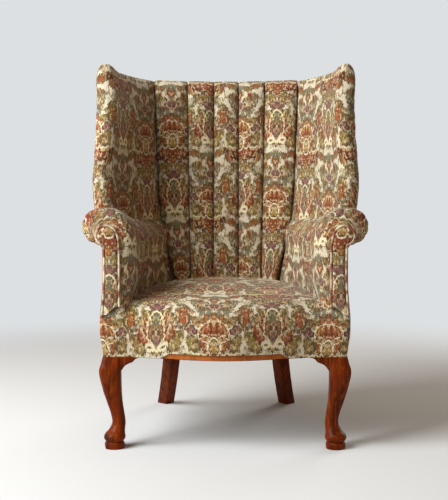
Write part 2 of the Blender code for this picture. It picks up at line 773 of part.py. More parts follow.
def arm_outer(y):
    # The padded outline of an arm from the seat, up its inside and round the roll.
    face = keyed(ARM_FACE_XS, y)
    foot = keyed(ARM_SEAT_XS, y)
    hidden = min(max((y - ROLL_END_Y) / 0.07, 0), 1)
    hidden = hidden * hidden * (3 - 2 * hidden)
    frame_edge = arm_frame_x(y) + ARM_FRAME_WIDTH / 2
    roll_x = max(mix(ROLL_X, frame_edge, hidden), frame_edge + 0.006)
    radius = mix(ROLL_RADIUS, 0.028, hidden)
    roll_z = mix(ROLL_Z, ARM_FRAME_TOP + 0.034, hidden)
    line = [(foot, arm_tuck(y)), (mix(foot, face, 0.25) - 0.003, ARM_TUCK + 0.07), (face, ARM_TOP - 0.134),
            (face - 0.002, ARM_TOP - 0.074), (face + 0.006, ARM_TOP - 0.040),
            (face + 0.028, ARM_TOP - 0.020), (roll_x - 0.6 * radius, roll_z + 0.93 * radius)]
    for angle in ROLL_ANGLES:
        turn = math.radians(angle)
        line.append((roll_x + radius * math.cos(turn), roll_z + radius * math.sin(turn)))
    line.append((frame_edge, min(roll_z - 0.93 * radius, ARM_FRAME_TOP - 0.003)))
    return line


def arm_nose_outline():
    # The facing's outline, point for point with the arm's own.
    path = facing_path(arm_tuck(ARM_FRONT_Y), 0.002)
    frame_edge = arm_frame_x(ARM_FRONT_Y) + ARM_FRAME_WIDTH / 2
    low = path[12][1] - 0.004
    return path[:13] + [(path[12][0] - 0.006, low), (frame_edge, low)]


def arm(side, sign, *frame):
    rings = []
    nose = arm_nose_outline()
    for index, y in enumerate(ARM_STATIONS[:-1]):
        fullness = math.sin(math.radians(NOSE_ANGLES[index])) if index < len(NOSE_ANGLES) else 1.0
        full = arm_outer(max(y, ARM_FRONT_Y + ARM_NOSE))
        line = [(mix(a[0], b[0], fullness), mix(a[1], b[1], fullness)) for a, b in zip(nose, full)]
        x = arm_frame_x(y)
        line += [(x + ARM_FRAME_WIDTH / 2, ARM_FRAME_TOP), (x - ARM_FRAME_WIDTH / 2, ARM_FRAME_TOP),
                 (x - ARM_FRAME_WIDTH / 2, arm_tuck(y))]
        rings.append([(sign * a, y, z) for a, z in line])
    padded = loft("arm_" + side, rings, TAPESTRY)
    fit(padded, *frame)
    return padded


def arm_facing(side, sign):
    outline = [(sign * x, z) for x, z in facing_path(LEG_HEIGHT + FACING_RISE)]
    back = ARM_FRONT_Y - CLEARANCE
    return plank("arm_facing_" + side, outline, back - FACING_THICKNESS, back, TAPESTRY, "XZ")


def facing_piping(side, sign):
    curve = bpy.data.curves.new("facing_piping_" + side, "CURVE")
    curve.dimensions = "3D"
    curve.bevel_depth = PIPING_RADIUS
    curve.bevel_resolution = 1
    curve.use_fill_caps = True
    path = facing_path(LEG_HEIGHT + FACING_RISE, PIPING_RADIUS + 2 * CLEARANCE)
    spline = curve.splines.new("POLY")
    spline.points.add(len(path) - 1)
    y = ARM_FRONT_Y - PIPING_RADIUS - 2 * CLEARANCE
    for point, (x, z) in zip(spline.points, path):
        point.co = (sign * x, y, z, 1)
    curve.materials.append(PIPING)
    piece = bpy.data.objects.new("facing_piping_" + side, curve)
    pieces.objects.link(piece)
    return piece


def hessian_z(x, y):
    across = 1 - (x / HESSIAN_HALF_WIDTH) ** 2
    front = rail_front(0) + FRONT_RAIL_THICKNESS / 2
    along = 1 - ((2 * y - front - SEAT_BACK_Y) / (SEAT_BACK_Y - front)) ** 2
    return RAIL_TOP + CLEARANCE + HESSIAN_DOME * max(across, 0) * max(along, 0)


def spring_hessian(legs):
    rings = []
    for x in steps(-HESSIAN_HALF_WIDTH, HESSIAN_HALF_WIDTH, 17):
        front = rail_front(x) + FRONT_RAIL_THICKNESS / 2 + HESSIAN_ROOM
        if abs(x) > FOOT_X - POST_SIZE / 2 - 0.045:
            front = FOOT_Y + POST_SIZE / 2 + 0.018
        rear = SEAT_BACK_Y - HESSIAN_CORNER * (abs(x) / HESSIAN_HALF_WIDTH) ** 3
        ys = steps(front, rear, 9)
        lower = [(x, y, hessian_z(x, y)) for y in ys]
        upper = [(x, y, z + HESSIAN) for x, y, z in reversed(lower)]
        rings.append(lower + upper)
    hessian = loft("spring_hessian", rings, HESSIAN_CLOTH)
    fit(hessian, *legs)
    return hessian


def seat_crown(x, y):
    across = 1 - 0.8 * (x / (FOOT_X + 0.024)) ** 2
    along = 1 - ((y - 0.02) / 0.40) ** 2
    return SEAT_EDGE + (SEAT_TOP - SEAT_EDGE) * max(across, 0) * along


SEAT_HALF_WIDTH = 0.3465
SEAT_CORNER_BACK = FOOT_Y + POST_SIZE / 2 + 0.006
SEAT_ROUND = 0.0165             # where its corners start to round off
SEAT_CORNER_X = FOOT_X - 0.036  # beyond it the padding runs down over the leg's post
SEAT_XS = [SEAT_CORNER_X * share for share in (0.0, 0.185, 0.37, 0.556, 0.704, 0.833, 0.926, 0.978, 0.998)]
SEAT_XS += [mix(SEAT_CORNER_X, SEAT_HALF_WIDTH, share) for share in (0.0, 0.39, 0.72, 0.915, 1.0)]


def seat_rear(reach):
    # Where the seat meets the arms, the inside back or, at its front corners, the outside arms.
    if reach >= ARM_SEAT_XS[0][1]:
        return SEAT_CORNER_BACK
    beside_arm = keyed(sorted((x, y) for y, x in ARM_SEAT_XS), reach)
    return max(min(beside_arm, inside_y(reach, SEAT_TOP) - 0.004), SEAT_CORNER_BACK)


def seat_column(x):
    # A slice through the seat from the hem, up the front border, over the crown and back underneath.
    reach = abs(x)
    inset = 0.006 * max(1 - (SEAT_HALF_WIDTH - reach) / SEAT_ROUND, 0) ** 2
    front = rail_front(x) - COVER + inset
    rear = seat_rear(reach) - inset
    hem = LEG_HEIGHT + HEM_RISE * max(1 - (reach / HEM_HALF_WIDTH) ** 2, 0)
    rim = seat_crown(x, front + 0.04)
    face = [(front + 0.002, hem), (front - COVER_BULGE * 0.6, mix(hem, rim, 0.3)),
            (front - COVER_BULGE, mix(hem, rim, 0.58)), (front, mix(hem, rim, 0.82)),
            (front + 0.013, rim - 0.009), (front + 0.030, rim)]
    tops = [mix(front + 0.030, rear, share) for share in (0.2, 0.4, 0.6, 0.8, 1.0)]
    top = [(y, seat_crown(x, y) - inset * 2) for y in tops]
    inner = front + COVER + FRONT_RAIL_THICKNESS / 2
    unders = [mix(inner, rear, share) for share in (1.0, 0.8, 0.6, 0.4, 0.2, 0.0)]
    if reach < SEAT_CORNER_X:
        under = [(y, hessian_z(reach, y) + HESSIAN + HESSIAN_ROOM) for y in unders]
    else:
        under = [(y, hem) for y in unders]
    return [(x, y, z) for y, z in face + top + under + [(inner, hem)]]


def seat(*frame):
    xs = [-x for x in reversed(SEAT_XS[1:])] + SEAT_XS
    padded = loft("seat", [seat_column(x) for x in xs], TAPESTRY)
    fit(padded, *frame)
    return padded


# Springing

WEB_TOP = LEG_HEIGHT - CLEARANCE


def seat_webbing():
    # Straps one way over straps the other way, sewn into one net.
    half = WEB_WIDTH / 2
    low = WEB_TOP - WEB_THICKNESS
    lift = WEB_THICKNESS * 0.3
    straps = []
    for x in SPRING_XS:
        front = rail_front(x) + 0.012
        straps.append(((x - half, front, low), (x + half, SEAT_BACK_Y, WEB_TOP - lift)))
    for y in SPRING_YS:
        reach = outside(turn_at_y(y, LEG_HEIGHT), LEG_HEIGHT)[0] - OUTSIDE_PAD - 0.012
        straps.append(((-reach, y - half, low + lift), (reach, y + half, WEB_TOP)))
    net = box("seat_webbing", *straps[0], JUTE)
    for index, (low_corner, high_corner) in enumerate(straps[1:]):
        strap = box("strap_%d" % index, low_corner, high_corner, JUTE)
        pieces.objects.unlink(strap)
        cutters.objects.link(strap)
        strap.hide_render = True
        strap.display_type = "WIRE"
        join = net.modifiers.new("strap", "BOOLEAN")
        join.operation = "UNION"
        join.solver = "EXACT"
        join.object = strap
    return net


def spring_points(x, y):
    bottom = WEB_TOP + CLEARANCE + SPRING_WIRE
    rim = [(x + SPRING_RADIUS * math.cos(a), y + SPRING_RADIUS * math.sin(a))
           for a in steps(0, 2 * math.pi, 9)]
    top = min(hessian_z(*point) for point in rim) - SPRING_WIRE - 3 * CLEARANCE
    count = int(SPRING_TURNS * CURL_POINTS) + 1
    points = []
    for index in range(count):
        share = index / (count - 1)
        radius = SPRING_WAIST + (SPRING_RADIUS - SPRING_WAIST) * (2 * share - 1) ** 2
        angle = 2 * math.pi * SPRING_TURNS * share
        points.append(Vector((x + radius * math.cos(angle), y + radius * math.sin(angle),
                              mix(bottom, top, share))))
    return points


def seat_spring(number, x, y):
    points = spring_points(x, y)
    curve = bpy.data.curves.new("seat_spring_%d" % number, "CURVE")
    curve.dimensions = "3D"
    curve.bevel_depth = SPRING_WIRE
    curve.bevel_resolution = 0
    curve.use_fill_caps = True
    spline = curve.splines.new("POLY")
    spline.points.add(len(points) - 1)
    for point, place in zip(spline.points, points):
        point.co = (*place, 1)
    curve.materials.append(STEEL)
    piece = bpy.data.objects.new("seat_spring_%d" % number, curve)
    pieces.objects.link(piece)
    apart = [(a - b).length for i, a in enumerate(points) for b in points[i + CURL_POINTS // 2:]]
    return min(apart) - 2 * SPRING_WIRE


def bottom_cloth():
    # The dust cover, cut round the legs and their brackets.
    inset = OUTSIDE_PAD + 0.010
    notch = FOOT_X - EAR_LENGTH - 0.012
    behind = FOOT_Y + POST_SIZE / 2 + 0.014
    ear_end = FOOT_Y + EAR_LENGTH + 0.010
    right = [(x, rail_front(x) + 0.012) for x in steps(0, notch, 9)]
    right += [(notch, behind), (FOOT_X - POST_SIZE / 2 - 0.010, behind), (FOOT_X - POST_SIZE / 2 - 0.010, ear_end)]
    turns = steps(turn_at_y(ear_end, LEG_HEIGHT), turn_at_y(REAR_LEG_Y - 0.038, LEG_HEIGHT), 8)
    right += offset_path([outside(turn, LEG_HEIGHT) for turn in turns], inset)
    leg_gap = REAR_LEG_X - 0.038
    right += [(leg_gap, REAR_LEG_Y - 0.038)]
    right += [(x, outside_y(x, LEG_HEIGHT) - inset) for x in steps(leg_gap, 0, 7)]
    left = [(-x, y) for x, y in reversed(right[1:-1])]
    high = WEB_TOP - WEB_THICKNESS - CLEARANCE
    return plank("bottom_cloth", right + left, high - BOTTOM_CLOTH, high, CAMBRIC)


# Assembly

front_legs = {side: front_leg(side, sign) for side, sign in SIDES}
rear_legs = {side: rear_leg(side, sign) for side, sign in SIDES}
front_rail = front_seat_rail()
back_rail = back_seat_rail(rear_legs.values())
side_rails = {side: side_seat_rail(side, sign, front_legs[side], rear_legs[side]) for side, sign in SIDES}
posts = {side: back_post(side, sign) for side, sign in SIDES}
crest = crest_rail()
tuck = back_tuck_rail(posts.values())
back = inside_back(*posts.values(), crest, tuck)

arms = {}
blocks = {}
stumps = {}
boards = {}
uprights = {}
wing_rails = {}
for side, sign in SIDES:
    front_ear(side, sign, front_legs[side])
    side_ear(side, sign, front_legs[side])
    blocks[side] = corner_blocks(side, sign, front_legs[side], rear_legs[side],
                                 front_rail, back_rail, side_rails[side])
    stumps[side] = arm_stump(side, sign)
    top = ARM_FRAME_TOP - CLEARANCE
    low = ARM_FRAME_TOP - ARM_RAIL_HEIGHT
    rail = arm_board("arm_rail_", side, sign, STUMP_FRONT_Y, ARM_RAIL_WIDTH, low, top, posts[side])
    start = STUMP_FRONT_Y + STUMP_DEPTH + CLEARANCE
    low = SEAT_TOP - 0.010
    high = low + TUCK_RAIL_HEIGHT
    arm_board("arm_tuck_rail_", side, sign, start, TUCK_RAIL_WIDTH, low, high, posts[side])
    boards[side] = scroll_board(side, sign)
    wing_rails[side] = wing_rail(side, sign, crest)
    uprights[side] = wing_post(side, sign)
    fit(rail, uprights[side])
    arms[side] = arm(side, sign, boards[side], uprights[side], posts[side], tuck, back)
    wing(side, sign, back, arms[side], uprights[side], wing_rails[side], posts[side], crest)
    arm_facing(side, sign)
    facing_piping(side, sign)

seat_pad = seat(*arms.values(), *stumps.values(), *front_legs.values(), back, front_rail,
                *side_rails.values(), *blocks.values())

low_edge = LEG_HEIGHT + 0.004
seam = ARM_TOP - 2 * ROLL_RADIUS + 0.004
half_gap = 0.004
under_cap = CAP_Z - 2 * CLEARANCE
for side, sign in SIDES:
    def arm_turns(z):
        return [sign * turn for turn in steps(CORNER_TURN + half_gap, 2.0, 14)]

    def wing_turns(z):
        return [sign * turn for turn in steps(CORNER_TURN + half_gap, wing_turn(WING_SEAM, z), 12)]

    lower = panel("outside_arm_" + side, arm_turns, steps(low_edge, seam, 6), TAPESTRY)
    fit(lower, seat_pad, arms[side], side_rails[side], front_legs[side], boards[side])
    upper = panel("outside_wing_" + side, wing_turns, steps(seam + 2 * CLEARANCE, under_cap, 9), TAPESTRY)
    fit(upper, arms[side], wing_rails[side], crest, uprights[side], posts[side])


def back_turns(z):
    return steps(-CORNER_TURN, CORNER_TURN, 19)


outer_back = panel("outside_back", back_turns, steps(low_edge, under_cap, 7), TAPESTRY)
fit(outer_back, crest, *posts.values())

seat_webbing()
spring_hessian(rear_legs.values())
gaps = []
for row, y in enumerate(SPRING_YS):
    for column, x in enumerate(SPRING_XS):
        gaps.append(seat_spring(row * len(SPRING_XS) + column + 1, x, y))
bottom_cloth()

print("least gap of a seat spring to itself: %.1f mm" % (min(gaps) * 1000))
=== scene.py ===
import math

import bmesh
import bpy
import numpy as np
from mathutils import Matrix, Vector


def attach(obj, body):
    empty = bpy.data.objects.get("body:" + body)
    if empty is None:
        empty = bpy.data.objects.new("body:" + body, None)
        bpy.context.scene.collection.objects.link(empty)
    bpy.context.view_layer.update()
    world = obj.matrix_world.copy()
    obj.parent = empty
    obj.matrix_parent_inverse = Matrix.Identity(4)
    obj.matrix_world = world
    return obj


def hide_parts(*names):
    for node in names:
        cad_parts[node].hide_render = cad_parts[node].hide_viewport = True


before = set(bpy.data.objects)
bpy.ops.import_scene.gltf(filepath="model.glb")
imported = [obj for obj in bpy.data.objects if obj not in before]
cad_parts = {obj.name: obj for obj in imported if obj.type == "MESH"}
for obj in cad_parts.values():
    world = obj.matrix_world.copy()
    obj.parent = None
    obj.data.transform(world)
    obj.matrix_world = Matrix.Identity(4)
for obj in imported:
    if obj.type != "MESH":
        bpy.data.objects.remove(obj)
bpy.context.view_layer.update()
print("frame:", len(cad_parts), "solids")

sides = (("right", 1), ("left", -1))       # right is +X, as seen from the front
rake = math.radians(12)

# the chair's main sizes in metres: the solids' own, apart from the horn and the front widths
chair = {
    "legHeight": 0.257, "railTop": 0.315, "seatEdge": 0.390, "seatTop": 0.447,
    "armTop": 0.664, "backTop": 1.087, "capDepth": 0.037, "hornRise": 0.0125,
    "footX": 0.306, "footY": -0.284, "postSize": 0.042,
    "railFrontY": -0.305, "railBow": 0.070,
    "barrelY": -0.050, "barrelPower": 2.6, "backOutsideY": 0.385, "sideFrontY": -0.316,
    "backRake": math.tan(rake),
    "outsideWidths": ((0.0, 0.326), (0.15, 0.336), (0.30, 0.364), (0.41, 0.384),
                      (0.50, 0.392), (0.62, 0.386), (0.72, 0.385), (0.80, 0.391)),
    "frontWidths": ((0.0, 0.335), (0.10, 0.3405), (0.16, 0.3365), (0.20, 0.3340), (0.31, 0.3335)),
    "gap": 0.0003,
}
capZ = chair["backTop"] - chair["capDepth"]


# small sums

def mix(a, b, f):
    return a + (b - a) * f


def steps(a, b, count):
    return [mix(a, b, i / (count - 1)) for i in range(count)]


def clamp(f):
    return min(max(f, 0), 1)


def ease(f):
    f = clamp(f)
    return f * f * (3 - 2 * f)


def rise(at, start, length):
    # from 0 at the start smoothly to 1 over the length
    return ease((at - start) / length)


def keyed(keys, at):
    # smooth curve through the keys, level past its ends
    if at <= keys[0][0]:
        return keys[0][1]
    if at >= keys[-1][0]:
        return keys[-1][1]
    i = max(k for k in range(len(keys) - 1) if keys[k][0] <= at)

    def slope(k):
        before, after = keys[max(k - 1, 0)], keys[min(k + 1, len(keys) - 1)]
        return (after[1] - before[1]) / (after[0] - before[0])

    (a, start), (b, end) = keys[i], keys[i + 1]
    f = (at - a) / (b - a)
    bend = (b - a) * (f * (1 - f) ** 2 * slope(i) - f * f * (1 - f) * slope(i + 1))
    return start + (end - start) * f * f * (3 - 2 * f) + bend


def smoothLine(points):
    # a smooth curve through all the points, with 12 steps between each two
    dense = []
    for i in range(len(points) - 1):
        p0, p1 = points[max(i - 1, 0)], points[i]
        p2, p3 = points[i + 1], points[min(i + 2, len(points) - 1)]
        for t in steps(0, 1, 13)[:-1]:
            dense.append(tuple(0.5 * (2 * b + (c - a) * t + (2 * a - 5 * b + 4 * c - d) * t * t
                                      + (3 * b - a - 3 * c + d) * t ** 3)
                               for a, b, c, d in zip(p0, p1, p2, p3)))
    dense.append(tuple(points[-1]))
    return dense


def lengths(points):
    # running length along a line of points
    total = [0.0]
    for a, b in zip(points, points[1:]):
        total.append(total[-1] + math.dist(a, b))
    return total


def spline(points, count):
    # evenly spaced points on the smooth curve
    dense = smoothLine(points)
    run = np.array(lengths(dense))
    goal = np.linspace(0, run[-1], count)
    return [tuple(p) for p in zip(*(np.interp(goal, run, axis) for axis in np.array(dense, float).T))]


def offsetPath(path, distance):
    # the path moved to the left of its direction
    moved = []
    for i, point in enumerate(path):
        before, after = path[max(i - 1, 0)], path[min(i + 1, len(path) - 1)]
        along = (after[0] - before[0], after[1] - before[1])
        size = math.hypot(*along) or 1.0
        moved.append((point[0] - along[1] / size * distance, point[1] + along[0] / size * distance))
    return moved


def arcPoint(x, z, radius, angle):
    turn = math.radians(angle)
    return x + radius * math.cos(turn), z + radius * math.sin(turn)


# meshes
sharpAngle = math.radians(50)


def addObject(name, data):
    made = bpy.data.objects.new(name, data)
    bpy.context.scene.collection.objects.link(made)
    return made


def meshPiece(name, verts, faces, material, clothMap):
    mesh = bpy.data.meshes.new(name)
    mesh.from_pydata(verts, [], faces)
    if clothMap:
        layer = mesh.uv_layers.new(name="cloth")
        at = np.zeros(len(mesh.loops), np.int32)
        mesh.loops.foreach_get("vertex_index", at)
        layer.data.foreach_set("uv", np.array(clothMap, np.float32)[at].ravel())
    shape = bmesh.new()
    shape.from_mesh(mesh)
    bmesh.ops.recalc_face_normals(shape, faces=shape.faces)
    shape.to_mesh(mesh)
    shape.free()
    mesh.shade_smooth()
    mesh.set_sharp_from_angle(angle=sharpAngle)
    mesh.materials.append(material)
    return addObject(name, mesh)


def loftPiece(name, rings, material, clothRings=()):
    # closed skin through rings of equally many points, with a face at each end
    count = len(rings[0])
    verts = [point for ring in rings for point in ring]
    faces = []
    for row in range(len(rings) - 1):
        for i in range(count):
            j = (i + 1) % count
            a, b = row * count, (row + 1) * count
            faces.append((a + i, a + j, b + j, b + i))
    faces.append(tuple(range(count)))
    faces.append(tuple(range(len(verts) - count, len(verts))))
    return meshPiece(name, verts, faces, material, [uv for ring in clothRings for uv in ring])


def place(piece, node):
    if node:
        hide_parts(node)
    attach(piece, "root")


# padding by cloth simulation: the cover is blown up between the points where it is sewn or hidden
cushion = {"frames": 20, "quality": 6, "mass": 0.05, "stiff": 12.0, "bend": 0.15}


def settle(piece, free, pressure, slack, most):
    mesh = piece.data
    before = np.zeros(len(mesh.vertices) * 3, np.float32)
    mesh.vertices.foreach_get("co", before)
    before = before.reshape(-1, 3)
    sewn = piece.vertex_groups.new(name="sewn")
    sewn.add([i for i in range(len(mesh.vertices)) if not free(i)], 1.0, "REPLACE")
    modifier = piece.modifiers.new("cover", "CLOTH")
    cover = modifier.settings
    cover.quality, cover.mass = cushion["quality"], cushion["mass"]
    cover.tension_stiffness = cover.compression_stiffness = cover.shear_stiffness = cushion["stiff"]
    cover.bending_stiffness = cushion["bend"]
    cover.use_pressure, cover.uniform_pressure_force = True, pressure
    cover.shrink_min = -slack                   # below nought the cloth is cut larger than the pad
    cover.effector_weights.gravity = 0.0
    cover.vertex_group_mass = "sewn"
    modifier.collision_settings.use_collision = False
    modifier.point_cache.frame_start, modifier.point_cache.frame_end = 1, cushion["frames"]
    scene = bpy.context.scene
    for number in range(1, cushion["frames"] + 1):
        scene.frame_set(number)
    shown = piece.evaluated_get(bpy.context.evaluated_depsgraph_get())
    after = np.zeros(len(before) * 3, np.float32)
    shown.data.vertices.foreach_get("co", after)
    moved = after.reshape(-1, 3) - before
    far = np.linalg.norm(moved, axis=1, keepdims=True)
    kept = moved * np.minimum(1.0, most / np.maximum(far, 1e-9))
    piece.modifiers.remove(modifier)
    piece.vertex_groups.remove(sewn)
    mesh.vertices.foreach_set("co", (before + kept).ravel())
    mesh.update()
    scene.frame_set(1)
    print("settled", piece.name, "by up to %.1f mm" % (far.max() * 1000))


def padPiece(name, node, rings, cloth, pad, free=None):
    # a padded piece in the tapestry, blown up at the points for which free(ring, point) holds
    piece = loftPiece(name, rings, tapestry, cloth)
    if free:
        settle(piece, lambda i: free(*divmod(i, len(rings[0]))), *pad["blown"])
    place(piece, node)
    return piece


# materials

def hexLinear(code):
    parts = [int(code[i:i + 2], 16) / 255 for i in (1, 3, 5)]
    return tuple(c / 12.92 if c <= 0.04045 else ((c + 0.055) / 1.055) ** 2.4 for c in parts) + (1.0,)


def setInputs(tree, node, inputs):
    # each value is a socket to link, a colour code or a plain value
    for key, value in inputs.items():
        if isinstance(value, bpy.types.NodeSocket):
            tree.links.new(value, node.inputs[key])
        else:
            node.inputs[key].default_value = hexLinear(value) if isinstance(value, str) else value


class Drawing:
    # the nodes of one tree, each added by a short call that gives its output, or all of them for None
    def __init__(self, tree):
        self.tree = tree

    def add(self, kind, inputs=None, output=0, **settings):
        node = self.tree.nodes.new(kind)
        for key, value in settings.items():
            setattr(node, key, value)
        setInputs(self.tree, node, inputs or {})
        return node.outputs if output is None else node.outputs[output]

    def sums(self, operation, *values):
        return self.add("ShaderNodeMath", dict(enumerate(values)), operation=operation)

    def vectors(self, operation, *values):
        return self.add("ShaderNodeVectorMath", dict(enumerate(values)), operation=operation)

    def length(self, vector):
        return self.add("ShaderNodeVectorMath", {0: vector}, "Value", operation="LENGTH")

    def scaled(self, vector, by):
        return self.add("ShaderNodeVectorMath", {0: vector, "Scale": by}, operation="SCALE")

    def stretched(self, vector, scale):
        return self.add("ShaderNodeMapping", {"Vector": vector, "Scale": scale})

    def objectSpot(self):
        return self.add("ShaderNodeTexCoord", output="Object")

    def noise(self, spot, scale, detail, distortion=0.0, output="Fac"):
        return self.add("ShaderNodeTexNoise", {
            "Vector": spot, "Scale": scale, "Detail": detail, "Distortion": distortion}, output)

    def bands(self, spot, direction, scale, distortion, detail=2.0):
        return self.add("ShaderNodeTexWave", {
            "Vector": spot, "Scale": scale, "Distortion": distortion, "Detail": detail}, "Fac",
            wave_type="BANDS", bands_direction=direction)

    def ranged(self, value, start, end, low=0.0, high=1.0, kind="LINEAR"):
        return self.add("ShaderNodeMapRange", {
            "Value": value, "From Min": start, "From Max": end, "To Min": low, "To Max": high},
            interpolation_type=kind)

    def smooth(self, value, start, end, high=1.0):
        return self.ranged(value, start, end, 0.0, high, "SMOOTHSTEP")

    def blend(self, factor, first, second):
        return self.add("ShaderNodeMix", {"Factor": factor, 6: first, 7: second}, 2, data_type="RGBA")

    def bump(self, height, strength, distance):
        return self.add("ShaderNodeBump", {"Height": height, "Strength": strength, "Distance": distance})


def newMaterial(name):
    made = bpy.data.materials.new(name)
    made.use_nodes = True
    return made, Drawing(made.node_tree)


def finishMaterial(made, **inputs):
    shader = made.node_tree.nodes["Principled BSDF"]
    setInputs(made.node_tree, shader, {key.replace("_", " "): value for key, value in inputs.items()})
    return made


# The cover: a wool and cotton tapestry with a half-drop damask of palmettes. Matt, with a thick
# woven face: cream ground, rust, brick, olive, sage and plum figures with pale outlines.
damask = {
    "column": 157.0,        # mm between two columns of figures
    "repeat": 465.0,        # mm up a column from a figure to the same one again
    "ground": ("#C6B897", "#DED3B8"),
    "sprigs": ("#8F6540", "#80694A"),
    "vine": "#786845", "paleThread": "#E0D2AC",
    "thread": 2.2,          # mm, about twice the real thread, which is too fine to show
    "vein": 5.0,            # mm between the fine lines inside a leaf
    "sprig": 15.0,          # mm, the size of the small leaves on the ground
    "waver": 7,             # mm, the slow drift of the whole drawing
    "feather": 20.0,        # mm, how far the edges of the figures wander
    "joinRoom": 7,          # mm beside the line between two columns where they wander less
    "full": 1.27,           # the figures swell by this, so that less of the ground shows
    "core": (0.95, 0.55), "edge": (1.06, 0.94),     # where in an oval its colour and itself fade
    "strokes": ((0.54, 0.64, 0.75, "#D3BA8A"), (0.44, 0.34, 0.55, "#3F2C18")),
    "cutSoftness": 20,      # mm over the line that cuts an oval off, for its measure to grow by 1
    # noises by their scale in 1/mm and detail
    "waverNoise": (0.035, 1.0), "featherNoise": (0.22, 3.0),
    "dyeNoise": (0.012, 2.0), "yarnNoise": (0.28, 3.0),
}
noiseMiddle = (0.5, 0.5, 0.5)
wavePeriod = 0.314          # the wave texture's scale for one band in each unit
# A figure is a list of ovals: x from the column's middle and y up from the figure's foot, half length,
# half width, all in mm, and the turn of its length in degrees. The column is mirrored about its middle.
bowlFoot = 20.0
budFoot = 252.5


def ovals(bud, bowl):
    found = [(x, y + budFoot, *rest) for x, y, *rest in bud]
    return found + [(x, y + bowlFoot, *rest) for x, y, *rest in bowl]


# thin brown vines: oval rings, with the line's half width in mm last
damaskStems = ovals([(62, 176, 26, 14, 80, 1.3), (24, 168, 18, 11, 40, 1.2)],
                    [(40, 150, 18, 12, 60, 1.2), (64, 98, 22, 12, 95, 1.2)])
damaskLayers = {
    # core colour, edge colour, ovals of the bud and of the bowl
    "leafBrown": ("#80613A", "#583F25", ovals(
        [(0, 72, 51, 40, 90), (73, 108, 34, 17, 90), (0, 196, 14, 11, 90), (44, 172, 15, 8, 70),
         (58, -14, 20, 11, 25), (26, 164, 18, 9, 55), (63, 200, 17, 9, 75)],
        [(0, 34, 41, 31, 0), (50, 164, 19, 12, 62), (0, 192, 15, 11, 90), (20, 4, 16, 6, 150),
         (37, 138, 17, 9, 60), (25, 208, 15, 8, 150)])),
    "leafOlive": ("#866C3A", "#5E4A2A", ovals(
        [(52, 33, 27, 14, 60), (66, 50, 13, 8, 110), (24, 110, 20, 9, 64), (41, 86, 22, 8, 82),
         (66, 140, 15, 7, 120), (16, 176, 16, 6, 52)],
        [(58, 26, 27, 11, 84), (25, 100, 24, 7, 58), (44, 90, 20, 7, 34), (26, 170, 14, 6, 40)])),
    "leafSage": ("#7B765C", "#57513F", ovals(
        [(57, 158, 16, 7, 112), (0, 106, 13, 6, 90), (0, -20, 17, 9, 0), (68, 84, 11, 6, 60)],
        [(12, 122, 22, 6.5, 78), (32, 117, 22, 6.5, 52), (55, 158, 15, 7, 70)])),
    # a sixth number cuts the oval off at that height over its middle
    "dishBrick": ("#823F22", "#572915", ovals([], [(0, 4, 65, 38, 0, 0.0)])),
    "petalRust": ("#9A5A2E", "#683A1C", ovals(
        [(35, 56, 27, 12, 60), (27, 90, 21, 9, 80), (73, 94, 9, 7, 20), (72, 108, 9, 7, 150),
         (73, 122, 7, 6, 0), (0, 192, 9, 7, 90), (57, -14, 10, 5, 25), (62, 200, 9, 5, 75)],
        [(0, 86, 28, 8, 90), (13, 83, 26, 7.5, 66), (25, 75, 22, 7, 44), (33, 62, 16, 6.5, 20),
         (24, 30, 22, 10, 80), (0, 186, 9, 7, 90)])),
    "petalBrick": ("#884424", "#5E2D18", ovals(
        [(42, 50, 13, 6.5, 58), (24, 80, 14, 5, 74)],
        [(0, 58, 24, 7, 0), (9, 82, 15, 2.6, 80), (17, 78, 13, 2.4, 58), (36, 184, 8, 5, 60)])),
    "petalPlum": ("#7E5449", "#593B33", ovals(
        [(0, 60, 19, 10, 90), (0, 142, 14, 11, 90), (16, 146, 12, 6, 50)],
        [(58, 70, 12, 10, 58), (0, 146, 15, 11, 90), (13, 141, 13, 6, 54)])),
    "knotGold": ("#A07C40", "#6E522A", ovals([(0, 20, 12, 8, 90)], [(0, 22, 15, 11, 90)])),
    "threadCream": ("#DFD1AB", "#CDBE96", ovals(
        [(8, 34, 15, 2.2, 62), (36, 68, 16, 1.8, 70)], [(48, 5, 28, 2.2, 4), (22, 54, 10, 2.0, 20)])),
}
# pale threads over the figures, as rings too
damaskRings = ovals([(0, 76, 42, 19, 90, 1.7), (19, 28, 7, 7, 0, 2.8)],
                    [(0, 22, 19, 14, 90, 1.6), (0, 62, 33, 24, 0, 1.1)])
edgeRoom = 4                # mm kept round an oval when its copies are looked for


def ovalCopies(oval):
    # the same oval where it runs over the edge of its half column or of the repeat
    x, y, along, across, turn, *rest = oval
    wide, high = damask["column"], damask["repeat"]
    reach = max(along, across) * damask["full"] + edgeRoom
    found = [(x, y, turn)]
    if x + reach > wide / 2:
        found.append((wide - x, (y + high / 2) % high, 180 - turn))
    copies = []
    for a, b, c in found:
        copies.append((a, b, along, across, c, *rest))
        if b + reach > high:
            copies.append((a, b - high, along, across, c, *rest))
        if b - reach < 0:
            copies.append((a, b + high, along, across, c, *rest))
    return copies


def ovalDistance(draw, spot, oval):
    # nought at the oval's middle and 1 on its edge
    x, y, along, across, turn = oval[:5]
    return draw.length(draw.add("ShaderNodeMapping", {
        "Vector": spot, "Location": (x, y, 0), "Rotation": (0, 0, math.radians(turn)),
        "Scale": (along * damask["full"], across * damask["full"], 1)}, vector_type="TEXTURE"))


def lowerHalf(draw, spot, oval, reach):
    # only the part of the oval below a level line
    height = draw.add("ShaderNodeSeparateXYZ", {0: spot}, 1)
    perMm = 1 / damask["cutSoftness"]
    above = draw.sums("MULTIPLY_ADD", height, perMm, 1 - perMm * (oval[1] + oval[5]))
    return draw.sums("MAXIMUM", reach, above)


def lengthened(draw, spot, share):
    # what is drawn on this comes out longer up the cloth
    return draw.vectors("MULTIPLY", spot, (1.0, share, 1.0))


